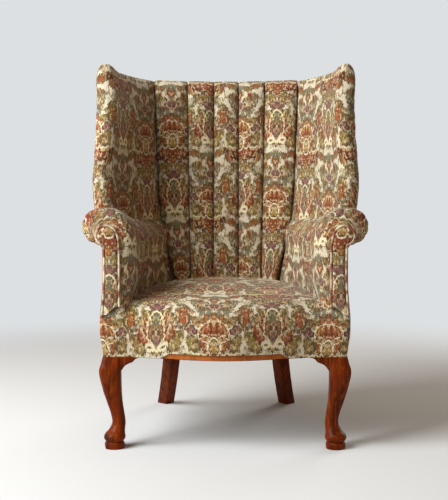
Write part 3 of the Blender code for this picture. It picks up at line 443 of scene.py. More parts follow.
def damaskSpot(draw, mm):
    # where a point of the cloth lies in its half column, with the drawing a little uneven
    drift = draw.vectors("SUBTRACT", draw.noise(mm, *damask["waverNoise"], output="Color"), noiseMiddle)
    drawn = draw.vectors("MULTIPLY_ADD", drift, (damask["waver"], damask["waver"], 0), mm)
    parts = draw.add("ShaderNodeSeparateXYZ", {0: drawn}, None)
    wide, high = damask["column"], damask["repeat"]
    column = draw.sums("DIVIDE", parts[0], wide)
    number = draw.sums("ROUND", column)
    x = draw.sums("MULTIPLY", draw.sums("ABSOLUTE", draw.sums("SUBTRACT", column, number)), wide)
    odd = draw.sums("FLOORED_MODULO", number, 2.0)
    y = draw.sums("FLOORED_MODULO", draw.sums("MULTIPLY_ADD", odd, high / 2, parts[1]), high)
    spot = draw.add("ShaderNodeCombineXYZ", {0: x, 1: y})
    # feathered edges: the drawing wanders by a few mm, but not where two columns meet
    feather = draw.noise(lengthened(draw, spot, 0.45), *damask["featherNoise"], output="Color")
    room = draw.ranged(x, wide / 2, wide / 2 - damask["joinRoom"], 0.0, damask["feather"])
    strayed = draw.scaled(draw.vectors("SUBTRACT", feather, noiseMiddle), room)
    return draw.vectors("MULTIPLY_ADD", strayed, (1, 1, 0), spot)


def tapestryCloth():
    made, draw = newMaterial("wovenTapestry")
    mm = draw.vectors("MULTIPLY", draw.add("ShaderNodeUVMap", uv_map="cloth"), (1000, 1000, 0))
    spot = damaskSpot(draw, mm)
    # short strokes up the cloth inside the figures, and the slow change of the dye lots
    strokes = draw.noise(lengthened(draw, spot, 0.38), 1 / damask["vein"], 1.0, 0.6)
    dye = draw.noise(mm, *damask["dyeNoise"])
    yarn = draw.noise(mm, *damask["yarnNoise"])
    colour = draw.blend(yarn, *damask["ground"])

    def joined(operation, before, socket):
        return socket if before is None else draw.sums(operation, before, socket)

    def threadLines(rings, colour, tone, spot):
        on = None
        for ring in rings:
            for copy in ovalCopies(ring):
                line = 2 * copy[5] / (copy[2] + copy[3])
                on = joined("MAXIMUM", on, draw.sums("COMPARE", ovalDistance(draw, spot, copy), 1.0, line))
        return draw.blend(on, colour, tone), on

    def follow(mask, spot):
        # a shift too small to see makes the renderer work the layers one after another
        return draw.vectors("MULTIPLY_ADD", mask, (1e-6, 1e-6, 0), spot)

    # small sprigs fill the ground between the figures
    sprigs = draw.noise(lengthened(draw, spot, 0.6), 1 / damask["sprig"], 1.0, 0.4)
    sprig = draw.ranged(sprigs, 0.50, 0.55, 0.0, 0.85)
    colour = draw.blend(sprig, colour, draw.blend(yarn, *damask["sprigs"]))
    colour, on = threadLines(damaskStems, colour, damask["vine"], spot)
    spot = follow(on, spot)
    rough = draw.sums("MULTIPLY_ADD", yarn, 0.4, -0.2)
    figure = None
    for core, edge, found in damaskLayers.values():
        nearest = None
        for oval in found:
            for copy in ovalCopies(oval):
                reach = ovalDistance(draw, spot, copy)
                if len(copy) > 5:
                    reach = lowerHalf(draw, spot, copy, reach)
                nearest = joined("MINIMUM", nearest, reach)
        nearest = draw.sums("ADD", nearest, rough)
        petal = draw.blend(draw.smooth(nearest, *damask["core"]), edge, core)
        mask = draw.smooth(nearest, *damask["edge"])
        colour = draw.blend(mask, colour, petal)
        figure = joined("MAXIMUM", figure, mask)
        spot = follow(mask, spot)
    # pale strokes and dark ones break the figures up
    for start, end, most, tone in damask["strokes"]:
        shown = draw.sums("MULTIPLY", draw.smooth(strokes, start, end, most), figure)
        colour = draw.blend(shown, colour, tone)
    colour = threadLines(damaskRings, colour, damask["paleThread"], spot)[0]
    # dye lots: rust leans to plum in places
    aged = draw.ranged(dye, 0.35, 0.65, 0.49, 0.51)
    colour = draw.add("ShaderNodeHueSaturation", {"Hue": aged, "Color": colour})
    # woven face: ribs across and threads up, as a fine light and dark and a bump
    scale = wavePeriod / damask["thread"]
    ribs = draw.bands(mm, "Y", scale, 0.6, 1.0)
    weave = draw.sums("MULTIPLY", ribs, draw.bands(mm, "X", scale * 0.8, 0.8, 1.0))
    shaded = draw.scaled(colour, draw.ranged(weave, 0.0, 1.0, 0.86, 1.07))
    bump = draw.bump(draw.sums("ADD", weave, yarn), 0.35, 0.0008)
    return finishMaterial(made, Base_Color=shaded, Normal=bump, Roughness=0.92, Specular_IOR_Level=0.22,
                          Sheen_Weight=0.12, Sheen_Roughness=0.5)


def pipingCloth():
    # the same cloth cut on the bias round a cord: pale, with red-brown where a figure falls
    made, draw = newMaterial("biasPiping")
    spot = draw.objectSpot()
    colour = draw.blend(draw.ranged(draw.noise(spot, 34.0, 2.0), 0.44, 0.58), "#D6C9AC", "#8A4F38")
    twill = draw.bands(spot, "DIAGONAL", 130.0, 1.0)
    shaded = draw.scaled(colour, draw.ranged(twill, 0.0, 1.0, 0.8, 1.05))
    return finishMaterial(made, Base_Color=shaded, Normal=draw.bump(twill, 0.4, 0.0006), Roughness=0.9,
                          Specular_IOR_Level=0.22)


def polishedWood(name, dark, mid, light, roughness, coat):
    # grain runs up Z: long streaks 2 to 6 mm wide over a broad figure, and short pores
    made, draw = newMaterial(name)
    spot = draw.objectSpot()
    streaks = draw.noise(draw.stretched(spot, (150, 150, 9)), 1.0, 4.0, 0.6)
    figure = draw.noise(draw.stretched(spot, (34, 34, 5)), 1.0, 2.0)
    pores = draw.noise(draw.stretched(spot, (900, 900, 60)), 1.0, 2.0)
    colour = draw.blend(draw.ranged(figure, 0.35, 0.68), dark, mid)
    colour = draw.blend(draw.ranged(streaks, 0.5, 0.75, 0.0, 0.7), colour, light)
    shaded = draw.scaled(colour, draw.ranged(pores, 0.30, 0.42, 0.72, 1.0))
    polish = draw.ranged(streaks, 0.0, 1.0, roughness - 0.06, roughness + 0.1)
    return finishMaterial(made, Base_Color=shaded, Roughness=polish, Normal=draw.bump(pores, 0.12, 0.0005),
                          Specular_IOR_Level=0.07, Coat_Weight=coat, Coat_Roughness=0.16)


def plainWeave(name, pale, dark, thread, roughness):
    # an open plain weave, one thread over and one under, at the thread's own spacing in mm
    made, draw = newMaterial(name)
    spot = draw.objectSpot()
    over, under = (draw.bands(spot, way, wavePeriod * 1000 / thread, 0.8) for way in "XY")
    weave = draw.sums("MULTIPLY", over, under)
    worn = draw.sums("MULTIPLY", weave, draw.noise(spot, 90.0, 3.0))
    return finishMaterial(made, Base_Color=draw.blend(worn, dark, pale), Normal=draw.bump(weave, 0.4, 0.0006),
                          Roughness=roughness, Specular_IOR_Level=0.25)


def springWire():
    # drawn spring steel, dulled with age: grey metal with brown specks
    made, draw = newMaterial("springSteel")
    rust = draw.noise(draw.objectSpot(), 160.0, 4.0)
    colour = draw.blend(draw.ranged(rust, 0.5, 0.75), "#8D8A86", "#6B4A35")
    dull = draw.ranged(rust, 0.0, 1.0, 0.3, 0.6)
    return finishMaterial(made, Base_Color=colour, Roughness=dull, Metallic=1.0)


tapestry = tapestryCloth()
piping = pipingCloth()
mahogany = polishedWood("polishedMahogany", "#461500", "#702800", "#98440A", 0.34, 0.02)
beech = polishedWood("plainBeech", "#A9743F", "#BF8850", "#CF9C66", 0.55, 0.0)
stainedBeech = polishedWood("stainedBeech", "#8E4A1C", "#A65A26", "#B87036", 0.5, 0.08)
hessian = plainWeave("juteHessian", "#B39A6D", "#7A6341", 2.5, 0.95)
webbing = plainWeave("juteWebbing", "#A98A5A", "#6E5433", 1.8, 0.95)
cambric = plainWeave("blackCambric", "#2B2A2A", "#141414", 1.2, 0.9)
steel = springWire()
print("materials:", len(tapestry.node_tree.nodes), "nodes in the damask")

# finishes by a part of a solid's name; the rest of the frame is beech, and solids replaced below don't show
finishes = {"leg": mahogany, "ear_": mahogany, "front_seat_rail": stainedBeech, "spring_hessian": hessian,
            "seat_webbing": webbing, "seat_spring": steel}
for name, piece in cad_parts.items():
    found = [finish for part, finish in finishes.items() if part in name]
    piece.data.materials.clear()
    piece.data.materials.append(found[0] if found else beech)


# the barrel

def railFront(x):
    share = min(abs(x) / (chair["footX"] - chair["postSize"] / 2), 1.0)
    return chair["railFrontY"] - chair["railBow"] * 0.5 * (1 + math.cos(math.pi * share))


def barrelSize(z):
    wide = keyed(chair["outsideWidths"], z - chair["legHeight"])
    deep = chair["backOutsideY"] - (capZ - min(z, capZ)) * chair["backRake"] - chair["barrelY"]
    return wide, deep


def outsideAt(turn, z):
    # middle of the back 0, round the barrel 1, along the side to the front 2
    wide, deep = barrelSize(z)
    side, turn = math.copysign(1, turn), abs(turn)
    power = 2 / chair["barrelPower"]
    if turn <= 1:
        angle = turn * math.pi / 2
        return (side * wide * math.sin(angle) ** power,
                chair["barrelY"] + deep * max(math.cos(angle), 0) ** power)
    height, widths = z - chair["legHeight"], chair["frontWidths"]
    front = keyed(widths, height) if height < widths[-1][0] else wide
    return side * mix(wide, front, turn - 1), mix(chair["barrelY"], chair["sideFrontY"], turn - 1)


def turnAtY(y, z):
    if y <= chair["barrelY"]:
        return 1 + (chair["barrelY"] - y) / (chair["barrelY"] - chair["sideFrontY"])
    deep = barrelSize(z)[1]
    return math.acos(min((y - chair["barrelY"]) / deep, 1) ** (chair["barrelPower"] / 2)) * 2 / math.pi


def outsideY(x, z):
    wide, deep = barrelSize(z)
    power = chair["barrelPower"]
    return chair["barrelY"] + deep * (1 - (abs(x) / wide) ** power) ** (1 / power)


# inside back: five sewn channels
backPad = {
    "insideY": 0.150, "hollow": 0.71, "thick": 0.026,
    "inner": 0.041, "outer": (0.114, 0.130),
    "edge": ((0.10, 0.152), (0.19, 0.166), (0.30, 0.194), (0.405, 0.214), (0.83, 0.238)),
    "depth": 0.016,             # how far a channel swells over its sewn lines
    "roundness": 2.3,           # power of a channel's section
    "sewn": 0.009,              # how deep the sewn lines lie
    "sewnShare": 0.045,         # and their share of a channel's width
    "tuck": 0.026,              # cloth taken into each sewn line
    "pucker": 0.0011,           # small pulls along the sewn lines, gone farther off
    "puckerFade": 9,
    "pulls": ((1.0, 251, 1.7, 0), (0.6, 437, 3.1, 4)),      # size, and turns by height, channel and share
    "crown": 0.0045,            # how far the padded top stands over the wings
    "capSwell": 0.12,           # how much of a channel's swell shows on the top
    "foot": 0.360, "freeFrom": 0.44,
    "dishAt": (0.043, 0.864),   # where the rim of a dish lies, X and Z
    "spread": (0.045, 0.955), "columns": 21, "levels": 70, "capSteps": 10,
    "blown": (3.0, 0.008, 0.006), "fill": 0.75,             # pressure, slack and farthest move
}


def backLines(z):
    share = (z - chair["seatTop"]) / (chair["backTop"] - chair["seatTop"])
    outer = mix(*backPad["outer"], share)
    edge = keyed(backPad["edge"], z - chair["legHeight"])
    return (-edge, -outer, -backPad["inner"], backPad["inner"], outer, edge)


def insideY(x, z):
    return backPad["insideY"] + (z - chair["seatTop"]) * chair["backRake"] - backPad["hollow"] * x * x


def backColumn(channel, share, heights):
    power, nearLine = backPad["roundness"], min(share, 1 - share)
    swell = max(1 - abs(2 * share - 1) ** power, 0) ** (1 / power)
    bulge = backPad["depth"] * swell - backPad["sewn"] * (1 - ease(nearLine / backPad["sewnShare"]))
    top = chair["capDepth"] + bulge * backPad["capSwell"] + backPad["crown"]

    def across(z):
        lines = backLines(z)
        return mix(lines[channel], lines[channel + 1], share)

    def pull(z):
        wave = sum(size * math.sin(z * byHeight + channel * byChannel + share * byShare)
                   for size, byHeight, byChannel, byShare in backPad["pulls"])
        return backPad["pucker"] * math.exp(-nearLine * backPad["puckerFade"]) * wave

    def capPoint(angle, outside):
        turn = math.radians(angle)
        z = capZ + top * math.sin(turn)
        inward = chair["capDepth"] * (1 - math.cos(turn))
        if outside:
            return across(z), outsideY(across(z), capZ) - inward, z
        return across(z), insideY(across(z), z) - bulge * math.cos(turn) + inward, z

    ring = [(across(z), insideY(across(z), z) - bulge + pull(z), z) for z in heights]
    ring += [capPoint(angle, False) for angle in steps(0, 90, backPad["capSteps"])[1:]]
    ring += [capPoint(angle, True) for angle in steps(90, 0, backPad["capSteps"])]
    ring += [(across(z), insideY(across(z), z) + backPad["thick"], z)
             for z in steps(capZ - 0.001, backPad["foot"], 14)]
    return ring


def makeBack():
    heights = steps(backPad["foot"], capZ, backPad["levels"])
    shares = [0.5 - 0.5 * math.cos(math.pi * s) for s in steps(*backPad["spread"], backPad["columns"])]
    dishX, dishZ = backPad["dishAt"]
    lines = backLines(dishZ)
    rings, cloth, start, origin = [], [], 0.0, 0.0
    for channel in range(len(lines) - 1):
        wide = lines[channel + 1] - lines[channel]
        profile = [(wide * s, backPad["depth"] * math.sqrt(1 - (2 * s - 1) ** 2)) for s in shares]
        run = lengths(profile)
        for share, along in zip(shares, run):
            ring = backColumn(channel, share, heights)
            rings.append(ring)
            cloth.append([(start + along, v) for v in lengths(ring)])
            if mix(lines[channel], lines[channel + 1], share) < dishX:
                origin = start + along
        start += run[-1] + backPad["tuck"]
    lift = (bowlFoot + 4) / 1000 - (dishZ - backPad["foot"]) / math.cos(rake)
    cloth = [[(u - origin, v + lift) for u, v in ring] for ring in cloth]
    shown = len(heights) + backPad["capSteps"] - 1

    def free(column, along):
        inChannel = 1 < column % len(shares) < len(shares) - 2
        return inChannel and along < shown and rings[column][along][2] > backPad["freeFrom"]

    padPiece("insideBack", "inside_back", rings, cloth, backPad, free)


# wings
wingPad = {
    "roll": 0.055, "thick": 0.022, "bow": 0.020, "foot": 0.598,
    "front": ((0.36, -0.130), (0.50, -0.124), (0.64, -0.092), (0.79, -0.045)),
    "horn": (0.66, 0.28),       # where along the wing's top it starts, and the length of its slope
    "crease": 0.012,            # how deep it is sewn in along the back
    "creaseShare": 0.05,        # and over which share of its width
    "spread": [0, 0.012, 0.024, 0.036, 0.05] + steps(0.08, 1, 24),
    "seam": 0.849,              # the outside wing is sewn on behind the roll
    "clothAt": (0.085, 0.90),   # where a figure's middle lies: along the inside and up
    "gauge": 13,                # the point of a ring along which the cloth is measured
    "shown": 46,                # points of a ring that show
    "levels": 44, "capLevels": 12,
    "blown": (0.7, 0.006, 0.005), "fill": 0.7,
}


def wingFrontY(z):
    return keyed(wingPad["front"], z - chair["legHeight"])


def wingInside(share, z):
    edge = backLines(z)[-1] + chair["gap"]
    start = Vector((edge, insideY(edge, z)))
    wide = keyed(chair["outsideWidths"], z - chair["legHeight"])
    end = Vector((wide - wingPad["roll"], wingFrontY(z) + wingPad["roll"] / 2))
    middle = (start + end) / 2 + Vector((wingPad["bow"], wingPad["bow"] * 0.5))
    return start * (1 - share) ** 2 + middle * 2 * share * (1 - share) + end * share ** 2


def wingTurn(share, z):
    start = outsideY(backLines(z)[-1] + chair["gap"], z)
    front = wingFrontY(z) + wingPad["roll"] / 2
    return turnAtY(mix(start, front, share), z)


def wingRing(z, rounding, capped):
    inset = (1 - math.cos(rounding)) * (wingPad["roll"] / 2 - 0.002)
    level, climb = min(z, capZ), math.sin(rounding)

    def faces(share):
        return wingInside(share, level), Vector(outsideAt(wingTurn(share, level), level))

    def lifted(point, share):
        return (point.x, point.y, z + rise(share, *wingPad["horn"]) * chair["hornRise"] * climb)

    def towards(point, other, distance):
        return point + (other - point).normalized() * distance

    ring = []
    for share in wingPad["spread"]:
        inner, outer = faces(share)
        sewn = (outer - inner).normalized() * wingPad["crease"] * (1 - ease(share / wingPad["creaseShare"]))
        ring.append(lifted(towards(inner, outer, inset) + sewn, share))
    inner, outer = faces(1.0)
    middle, half = (inner + outer) / 2, (outer - inner) / 2
    shrink = 1 - inset / half.length
    for angle in steps(0, 180, 15)[1:-1]:
        turn = math.radians(angle)
        front = Vector((0, -half.length * math.sin(turn)))
        ring.append(lifted(middle + (half * -math.cos(turn) + front) * shrink, 1.0))
    for share in steps(1.0, 0.86, 5):
        inner, outer = faces(share)
        ring.append(lifted(towards(outer, inner, inset), share))
    for share in steps(0.84, 0, 14):
        inner, outer = faces(share)
        hidden = towards(outer, inner, inset) if capped else towards(inner, outer, wingPad["thick"])
        ring.append(lifted(hidden, share))
    return ring


def makeWing(side, sign):
    levels = [(z, 0.0, False) for z in steps(wingPad["foot"], capZ, wingPad["levels"])]
    for angle in steps(0, 88, wingPad["capLevels"]):
        turn = math.radians(angle)
        levels.append((mix(capZ + 2 * chair["gap"], chair["backTop"], math.sin(turn)), turn, True))
    shapes = [wingRing(*level) for level in levels]
    ups = lengths([ring[wingPad["gauge"]] for ring in shapes])
    rings, cloth = [], []
    figureX, figureZ = wingPad["clothAt"]
    for ring, up in zip(shapes, ups):
        rings.append([(sign * x, y, h) for x, y, h in ring])
        v = up + wingPad["foot"] - figureZ + (bowlFoot + 58) / 1000
        cloth.append([(sign * (u - figureX), v) for u in lengths(ring)])
    padPiece("wing_" + side + "_padded", "wing_" + side, rings, cloth, wingPad,
             lambda level, along: 4 < along < wingPad["shown"] and 2 < level < len(rings) - 2)


# arms
armPad = {
    "rollX": 0.3415, "rollRadius": 0.0500, "front": -0.3165, "nose": 0.034, "rear": 0.157,
    "rollEnd": (-0.085, 0.045),     # where the roll runs out under the wing, and over which length
    "rearRadius": 0.028, "rollOver": 0.006,
    "tuck": 0.360, "frontTuck": 0.034, "tuckFrom": (-0.225, 0.05), "noseBack": -0.281,
    "frameTop": 0.598, "frameWidth": 0.031,
    "face": ((-0.29, 0.252), (-0.20, 0.246), (-0.10, 0.240), (0.0, 0.225), (0.10, 0.202), (0.17, 0.184)),
    "foot": ((-0.30, 0.268), (-0.20, 0.262), (-0.10, 0.248), (0.0, 0.222), (0.10, 0.185), (0.165, 0.160)),
    "frame": ((-0.31, 0.316), (-0.20, 0.316), (-0.12, 0.318), (-0.05, 0.328), (0.02, 0.312),
              (0.08, 0.280), (0.16, 0.228), (0.20, 0.212)),
    "shoulderDrop": 0.020,          # the inside of the arm's top falls to the back
    "dropFrom": (-0.262, 0.13), "dropHeights": (0.55, 0.07),
    "rearTop": 0.034,               # how far the padding stands over the frame behind the roll
    "stations": 56, "noseStations": 13,
    "gauge": 60,                    # the point of a ring along which the cloth is measured
    "clothAt": (0.05, -0.10),
    "blown": (1.2, 0.006, 0.005), "fill": 0.8,
}
pleat = {
    "count": 17, "depth": 0.0060, "length": 0.032, "fade": 1.8,
    "start": (0.010, 0.004),        # full this far behind the facing, and from nought over this length
    "from": (0.40, 0.10), "to": (0.99, 0.03),       # shares of the outline, each with its fade
    "uneven": (0.16, 23), "sharp": 1.6, "fold": (0.35, 1.35),
}
facing = {
    "inner": 0.2915, "outer": 0.3250, "flare": 0.006, "foot": 0.399, "outerFoot": 0.374,
    "headX": 0.3225, "headZ": 0.589, "headRadius": 0.0235,
    "piping": 0.0034,
    "sections": ((-0.004, 0.0), (0.004, 0.0), (0.0065, -0.0012), (0.0082, -0.0035), (0.009, -0.0070)),
    "dishAt": (0.314, 0.590),       # where the rim of a dish lies, X and Z
    "flush": (0.376, 0.05),         # thin over this height, to lie flush with the seat's border
    "fill": 0.4,
}


def facingPath(lower, grow):
    # control points of the mushroom outline, from its inner foot over the head to its outer foot
    headX, headZ, radius = facing["headX"], facing["headZ"], facing["headRadius"]
    inner, outer = facing["inner"], facing["outer"]
    low = lower - facing["foot"] + facing["outerFoot"]
    path = [(inner, lower), (inner, lower + 0.06), (inner, headZ - 0.06), (inner + 0.001, headZ - 0.016),
            (headX - radius * 0.98, headZ + 0.008), (headX - radius * 0.72, headZ + radius * 0.70),
            (headX - radius * 0.38, headZ + radius * 0.93)]
    path += [arcPoint(headX, headZ, radius, angle) for angle in (90, 60, 30, 0, -30, -60)]
    path += [(outer, headZ - radius - 0.008), (outer, mix(headZ, low, 0.6)), (outer + facing["flare"], low)]
    return path if grow is None else offsetPath(path, grow)


def facingLine(lower, grow, count):
    return offsetPath(spline(facingPath(lower, None), count), grow)


def armTuck(y):
    start, length = armPad["tuckFrom"]
    return armPad["tuck"] + armPad["frontTuck"] * clamp((start - y) / length)


def frameEdge(y):
    return keyed(armPad["frame"], y) + armPad["frameWidth"] / 2


def armOuter(y):
    # control points of the padded outline from the seat, up the inside and round the roll
    face, foot = keyed(armPad["face"], y), keyed(armPad["foot"], y)
    hidden, edge = rise(y, *armPad["rollEnd"]), frameEdge(y)
    rollX = max(mix(armPad["rollX"], edge, hidden), edge + armPad["rollOver"])
    radius = mix(armPad["rollRadius"], armPad["rearRadius"], hidden)
    rollZ = mix(chair["armTop"], armPad["frameTop"] + armPad["rearTop"], hidden) - radius
    top = chair["armTop"]
    line = [(foot, armTuck(y)), (mix(foot, face, 0.25) - 0.003, armPad["tuck"] + 0.07), (face, top - 0.134),
            (face - 0.002, top - 0.074), (face + 0.006, top - 0.040), (face + 0.028, top - 0.020),
            (rollX - 0.6 * radius, rollZ + 0.93 * radius)]
    line += [arcPoint(rollX, rollZ, radius, angle) for angle in (90, 60, 30, 0, -30, -60, -90)]
    line.append((edge, min(rollZ - 0.93 * radius, armPad["frameTop"] - 0.003)))
    drop = armPad["shoulderDrop"] * rise(y, *armPad["dropFrom"])
    low, high = armPad["dropHeights"]
    near = face + 0.015
    return [(x, z - drop * clamp((z - low) / high) * (1 - rise(x, near, rollX - near))) for x, z in line]


def armNose():
    # the outline at the very front: the facing's, down to its outer side, and back to the frame
    path = facingPath(armTuck(armPad["front"]), 0.002)[:13]
    x, z = path[-1]
    return path + [(x - 0.006, z - 0.004), (frameEdge(armPad["front"]), z - 0.004)]


def pleated(line, y):
    # pleats round the scroll, deep at the facing and gone farther back
    behind = y - armPad["front"]
    full, grow = pleat["start"]
    (end, endFade), (uneven, waves), (over, under) = pleat["to"], pleat["uneven"], pleat["fold"]
    gathered = math.exp(-max(behind - full, 0) / pleat["length"] * pleat["fade"]) * ease(behind / grow)
    run = lengths(line)
    shaped = []
    for (px, pz), (nx, nz), s in zip(line, offsetPath(line, 1.0), run):
        share = s / run[-1]
        here = rise(share, *pleat["from"]) * ease((end - share) / endFade)
        turn = share * pleat["count"] + uneven * math.sin(share * waves)
        crease = (1 - abs(math.sin(math.pi * turn))) ** pleat["sharp"]
        dip = pleat["depth"] * gathered * here * (over - under * crease)
        shaped.append((px + (nx - px) * dip, pz + (nz - pz) * dip))
    return shaped


def makeArm(side, sign):
    nose, noseEnd = smoothLine(armNose()), armPad["front"] + armPad["nose"]
    turns = [math.radians(a) for a in steps(0, 84, armPad["noseStations"])]
    stations = [(armPad["front"] + armPad["nose"] * (1 - math.cos(turn)), math.sin(turn)) for turn in turns]
    stations += [(y, 1.0) for y in steps(armPad["noseBack"], armPad["rear"], armPad["stations"])]
    outlines, half, top = [], armPad["frameWidth"] / 2, armPad["frameTop"]
    for y, fullness in stations:
        full = smoothLine(armOuter(max(y, noseEnd)))
        line = [(mix(a[0], b[0], fullness), mix(a[1], b[1], fullness)) for a, b in zip(nose, full)]
        x = keyed(armPad["frame"], y)
        pocket = [(x + half, top), (x, top), (x - half, top), (x - half, mix(top, armTuck(y), 0.5)),
                  (x - half, armTuck(y))]
        outlines.append(pleated(line, y) + pocket)
    rings = [[(sign * x, y, z) for x, z in outline] for outline, (y, fullness) in zip(outlines, stations)]
    alongs = lengths([ring[armPad["gauge"]] for ring in rings])
    startU, startV = armPad["clothAt"]
    cloth = [[(sign * (along - startU), v - startV) for v in lengths(outline)]
             for outline, along in zip(outlines, alongs)]
    padPiece("arm_" + side + "_padded", "arm_" + side, rings, cloth, armPad,
             lambda station, along: 4 < station < len(rings) - 3 and 12 < along < len(nose) - 4)


def facingDepth(depth, z):
    return depth * mix(0.25, 1.0, rise(z, *facing["flush"]))


def makeFacing(side, sign):
    back = armPad["front"] - chair["gap"]
    dishX, dishZ = facing["dishAt"]
    rings, cloth = [], []
    for depth, grow in facing["sections"]:
        path = facingLine(facing["foot"], grow, 90)
        rings.append([(sign * x, back - facingDepth(depth, z), z) for x, z in path])
        cloth.append([(sign * (x - dishX), z - dishZ + (bowlFoot + 4) / 1000) for x, z in path])
    padPiece("armFacing_" + side, "arm_facing_" + side, rings, cloth, facing)


# seat: tight sprung pad with a bowed front, one cover over the crown and down the border
seatPad = {
    "halfWidth": 0.3465, "round": 0.0165, "roundInset": 0.006,
    "cornerX": 0.270, "cornerBack": -0.257, "sideX": 0.3395,
    "crownWidth": chair["footX"] + 0.024, "crownMiddle": 0.02, "crownLength": 0.40,
    "cover": 0.006, "bulge": 0.004, "hemRise": 0.0145, "hemFlat": 0.150, "hemEnd": 0.176,
    "hemWidth": 0.3345, "borderWidth": 0.3420,     # half widths at the hem and over it
    "borderRise": 0.075, "narrowFrom": (0.20, 0.12),
    "under": (0.262, 0.024),    # beneath the arm facing the rim is lower and squarer
    "underRim": 0.398,
    "fall": (0.296, 0.05), "fallDepth": 0.020,
    "hollow": 0.03, "hollowWidth": 0.26,            # room over the springs
    "figureX": -0.029,          # a bowl figure stands here on the front border
    "columns": 71, "shown": 60,                     # and how many points of a column show
    "blown": (0.6, 0.004, 0.004), "fill": 0.85,
}


def seatCrown(x, y):
    across = 1 - 0.8 * (x / seatPad["crownWidth"]) ** 2
    along = 1 - ((y - seatPad["crownMiddle"]) / seatPad["crownLength"]) ** 2
    return chair["seatEdge"] + (chair["seatTop"] - chair["seatEdge"]) * max(across, 0) * along


def seatRear(reach):
    if reach >= armPad["foot"][0][1]:
        return seatPad["cornerBack"]
    beside = keyed(sorted((x, y) for y, x in armPad["foot"]), reach)
    return max(min(beside, insideY(reach, chair["seatTop"]) - 0.004), seatPad["cornerBack"])


def seatColumn(x):
    reach = abs(x)
    inset = seatPad["roundInset"] * max(1 - (seatPad["halfWidth"] - reach) / seatPad["round"], 0) ** 2
    front = railFront(x) - seatPad["cover"] + inset
    rear = seatRear(reach) - inset
    bare = 1 - rise(reach, seatPad["hemFlat"], seatPad["hemEnd"] - seatPad["hemFlat"])
    hem = chair["legHeight"] + seatPad["hemRise"] * bare
    under = rise(reach, *seatPad["under"])
    slope = seatPad["fallDepth"] * rise(reach, *seatPad["fall"])
    rim = mix(seatCrown(x, front + 0.04), seatPad["underRim"], under) - slope
    bulge = seatPad["bulge"]
    # control points of the border, from the hem up to the rim
    face = spline([
        (front + 0.002, hem), (front - bulge * 0.6, mix(hem, rim, 0.3)), (front - bulge, mix(hem, rim, 0.58)),
        (mix(front, front - 0.0046, under), mix(hem, rim, 0.82)),
        (mix(front + 0.013, front - 0.003, under), rim - 0.009),
        (mix(front + 0.030, front + 0.004, under), rim)], 26)
    ys = steps(face[-1][0], rear, 40)[1:]
    top = [(y, mix(seatCrown(x, y), rim, under) - inset * 2) for y in ys]
    inner = front + seatPad["cover"] - 0.002
    low = chair["railTop"] + (0.002 if reach < seatPad["cornerX"] else 0.006)
    if reach > seatPad["sideX"]:
        low = hem + 0.0005          # down beside the leg
    hollow = seatPad["hollow"] * max(1 - (x / seatPad["hollowWidth"]) ** 2, 0)
    below = [(mix(rear, inner, s), low + hollow * math.sin(math.pi * s)) for s in steps(0, 1, 9)]

    def narrowed(z):
        up = rise(z, chair["legHeight"], seatPad["borderRise"])
        wide = mix(seatPad["hemWidth"], seatPad["borderWidth"], up)
        return x * mix(1, wide / seatPad["halfWidth"], rise(reach, *seatPad["narrowFrom"]))

    return [(narrowed(z), y, z) for y, z in face + top + below + [(inner, hem)]]


def makeSeat():
    half, figureX = seatPad["halfWidth"], seatPad["figureX"]
    xs = [-half * math.sin(a) for a in steps(math.pi / 2, -math.pi / 2, seatPad["columns"])]
    rings = [seatColumn(x) for x in xs]
    cloth = [[(x - figureX, v + bowlFoot / 1000) for v in lengths(ring)] for x, ring in zip(xs, rings)]
    piece = padPiece("seatPadded", "seat", rings, cloth, seatPad,
                     lambda column, along: 5 < column < len(xs) - 6 and 2 < along < seatPad["shown"])
    # on the two end faces, which stay where they are, the cloth runs on round the corner
    mesh = piece.data
    onSide = mesh.uv_layers["cloth"].data
    ends = [face for face in mesh.polygons if len(face.vertices) == len(rings[0])]
    for loop in (loop for face in ends for loop in face.loop_indices):
        spot = mesh.vertices[mesh.loops[loop].vertex_index].co
        reach = math.copysign(half + spot.y - railFront(half) + seatPad["cover"], spot.x)
        onSide[loop].uv = (reach - figureX, spot.z - chair["legHeight"] + bowlFoot / 1000)


# outside covers on their lining
outer = {
    "pad": 0.008, "frontPad": 0.0016, "thinFrom": (1.6, 0.3),
    "low": 0.261, "seam": 0.565, "corner": 0.46, "halfGap": 0.004, "seatCorner": 0.368,
    "turnedIn": 0.016,          # top edge of the outside arm, tucked under the roll
    "clothStretch": 1.02, "fill": 0.2,
    "nearby": 0.004,            # share of a turn to each side that gives the cover's direction
}
underCap = capZ - 2 * chair["gap"]


def makePanel(name, node, turnRange, heights, turnedIn=0.0):
    rings, cloth = [], []
    levels = [(z, 0.0) for z in heights]
    if turnedIn:
        levels.append((heights[-1] + turnedIn, turnedIn))
    for z, inset in levels:
        turns = turnRange(z)
        skin, lining = [], []
        for t in turns:
            x, y = outsideAt(t, z)
            a, b = outsideAt(t - outer["nearby"], z), outsideAt(t + outer["nearby"], z)
            along = Vector((b[0] - a[0], b[1] - a[1])).normalized()
            pad = inset + mix(outer["pad"], outer["frontPad"], rise(abs(t), *outer["thinFrom"]))
            skin.append((x + along.y * inset, y - along.x * inset))
            lining.append((x + along.y * pad, y - along.x * pad))
        us = lengths(skin)
        if turns[0] < 0 < turns[-1]:
            us = [u - us[len(us) // 2] for u in us]     # the back's figures stand in its middle
        rings.append([(x, y, z) for x, y in skin + lining[::-1]])
        cloth.append([(u, z * outer["clothStretch"]) for u in us + us[::-1]])
    padPiece(name, node, rings, cloth, outer)


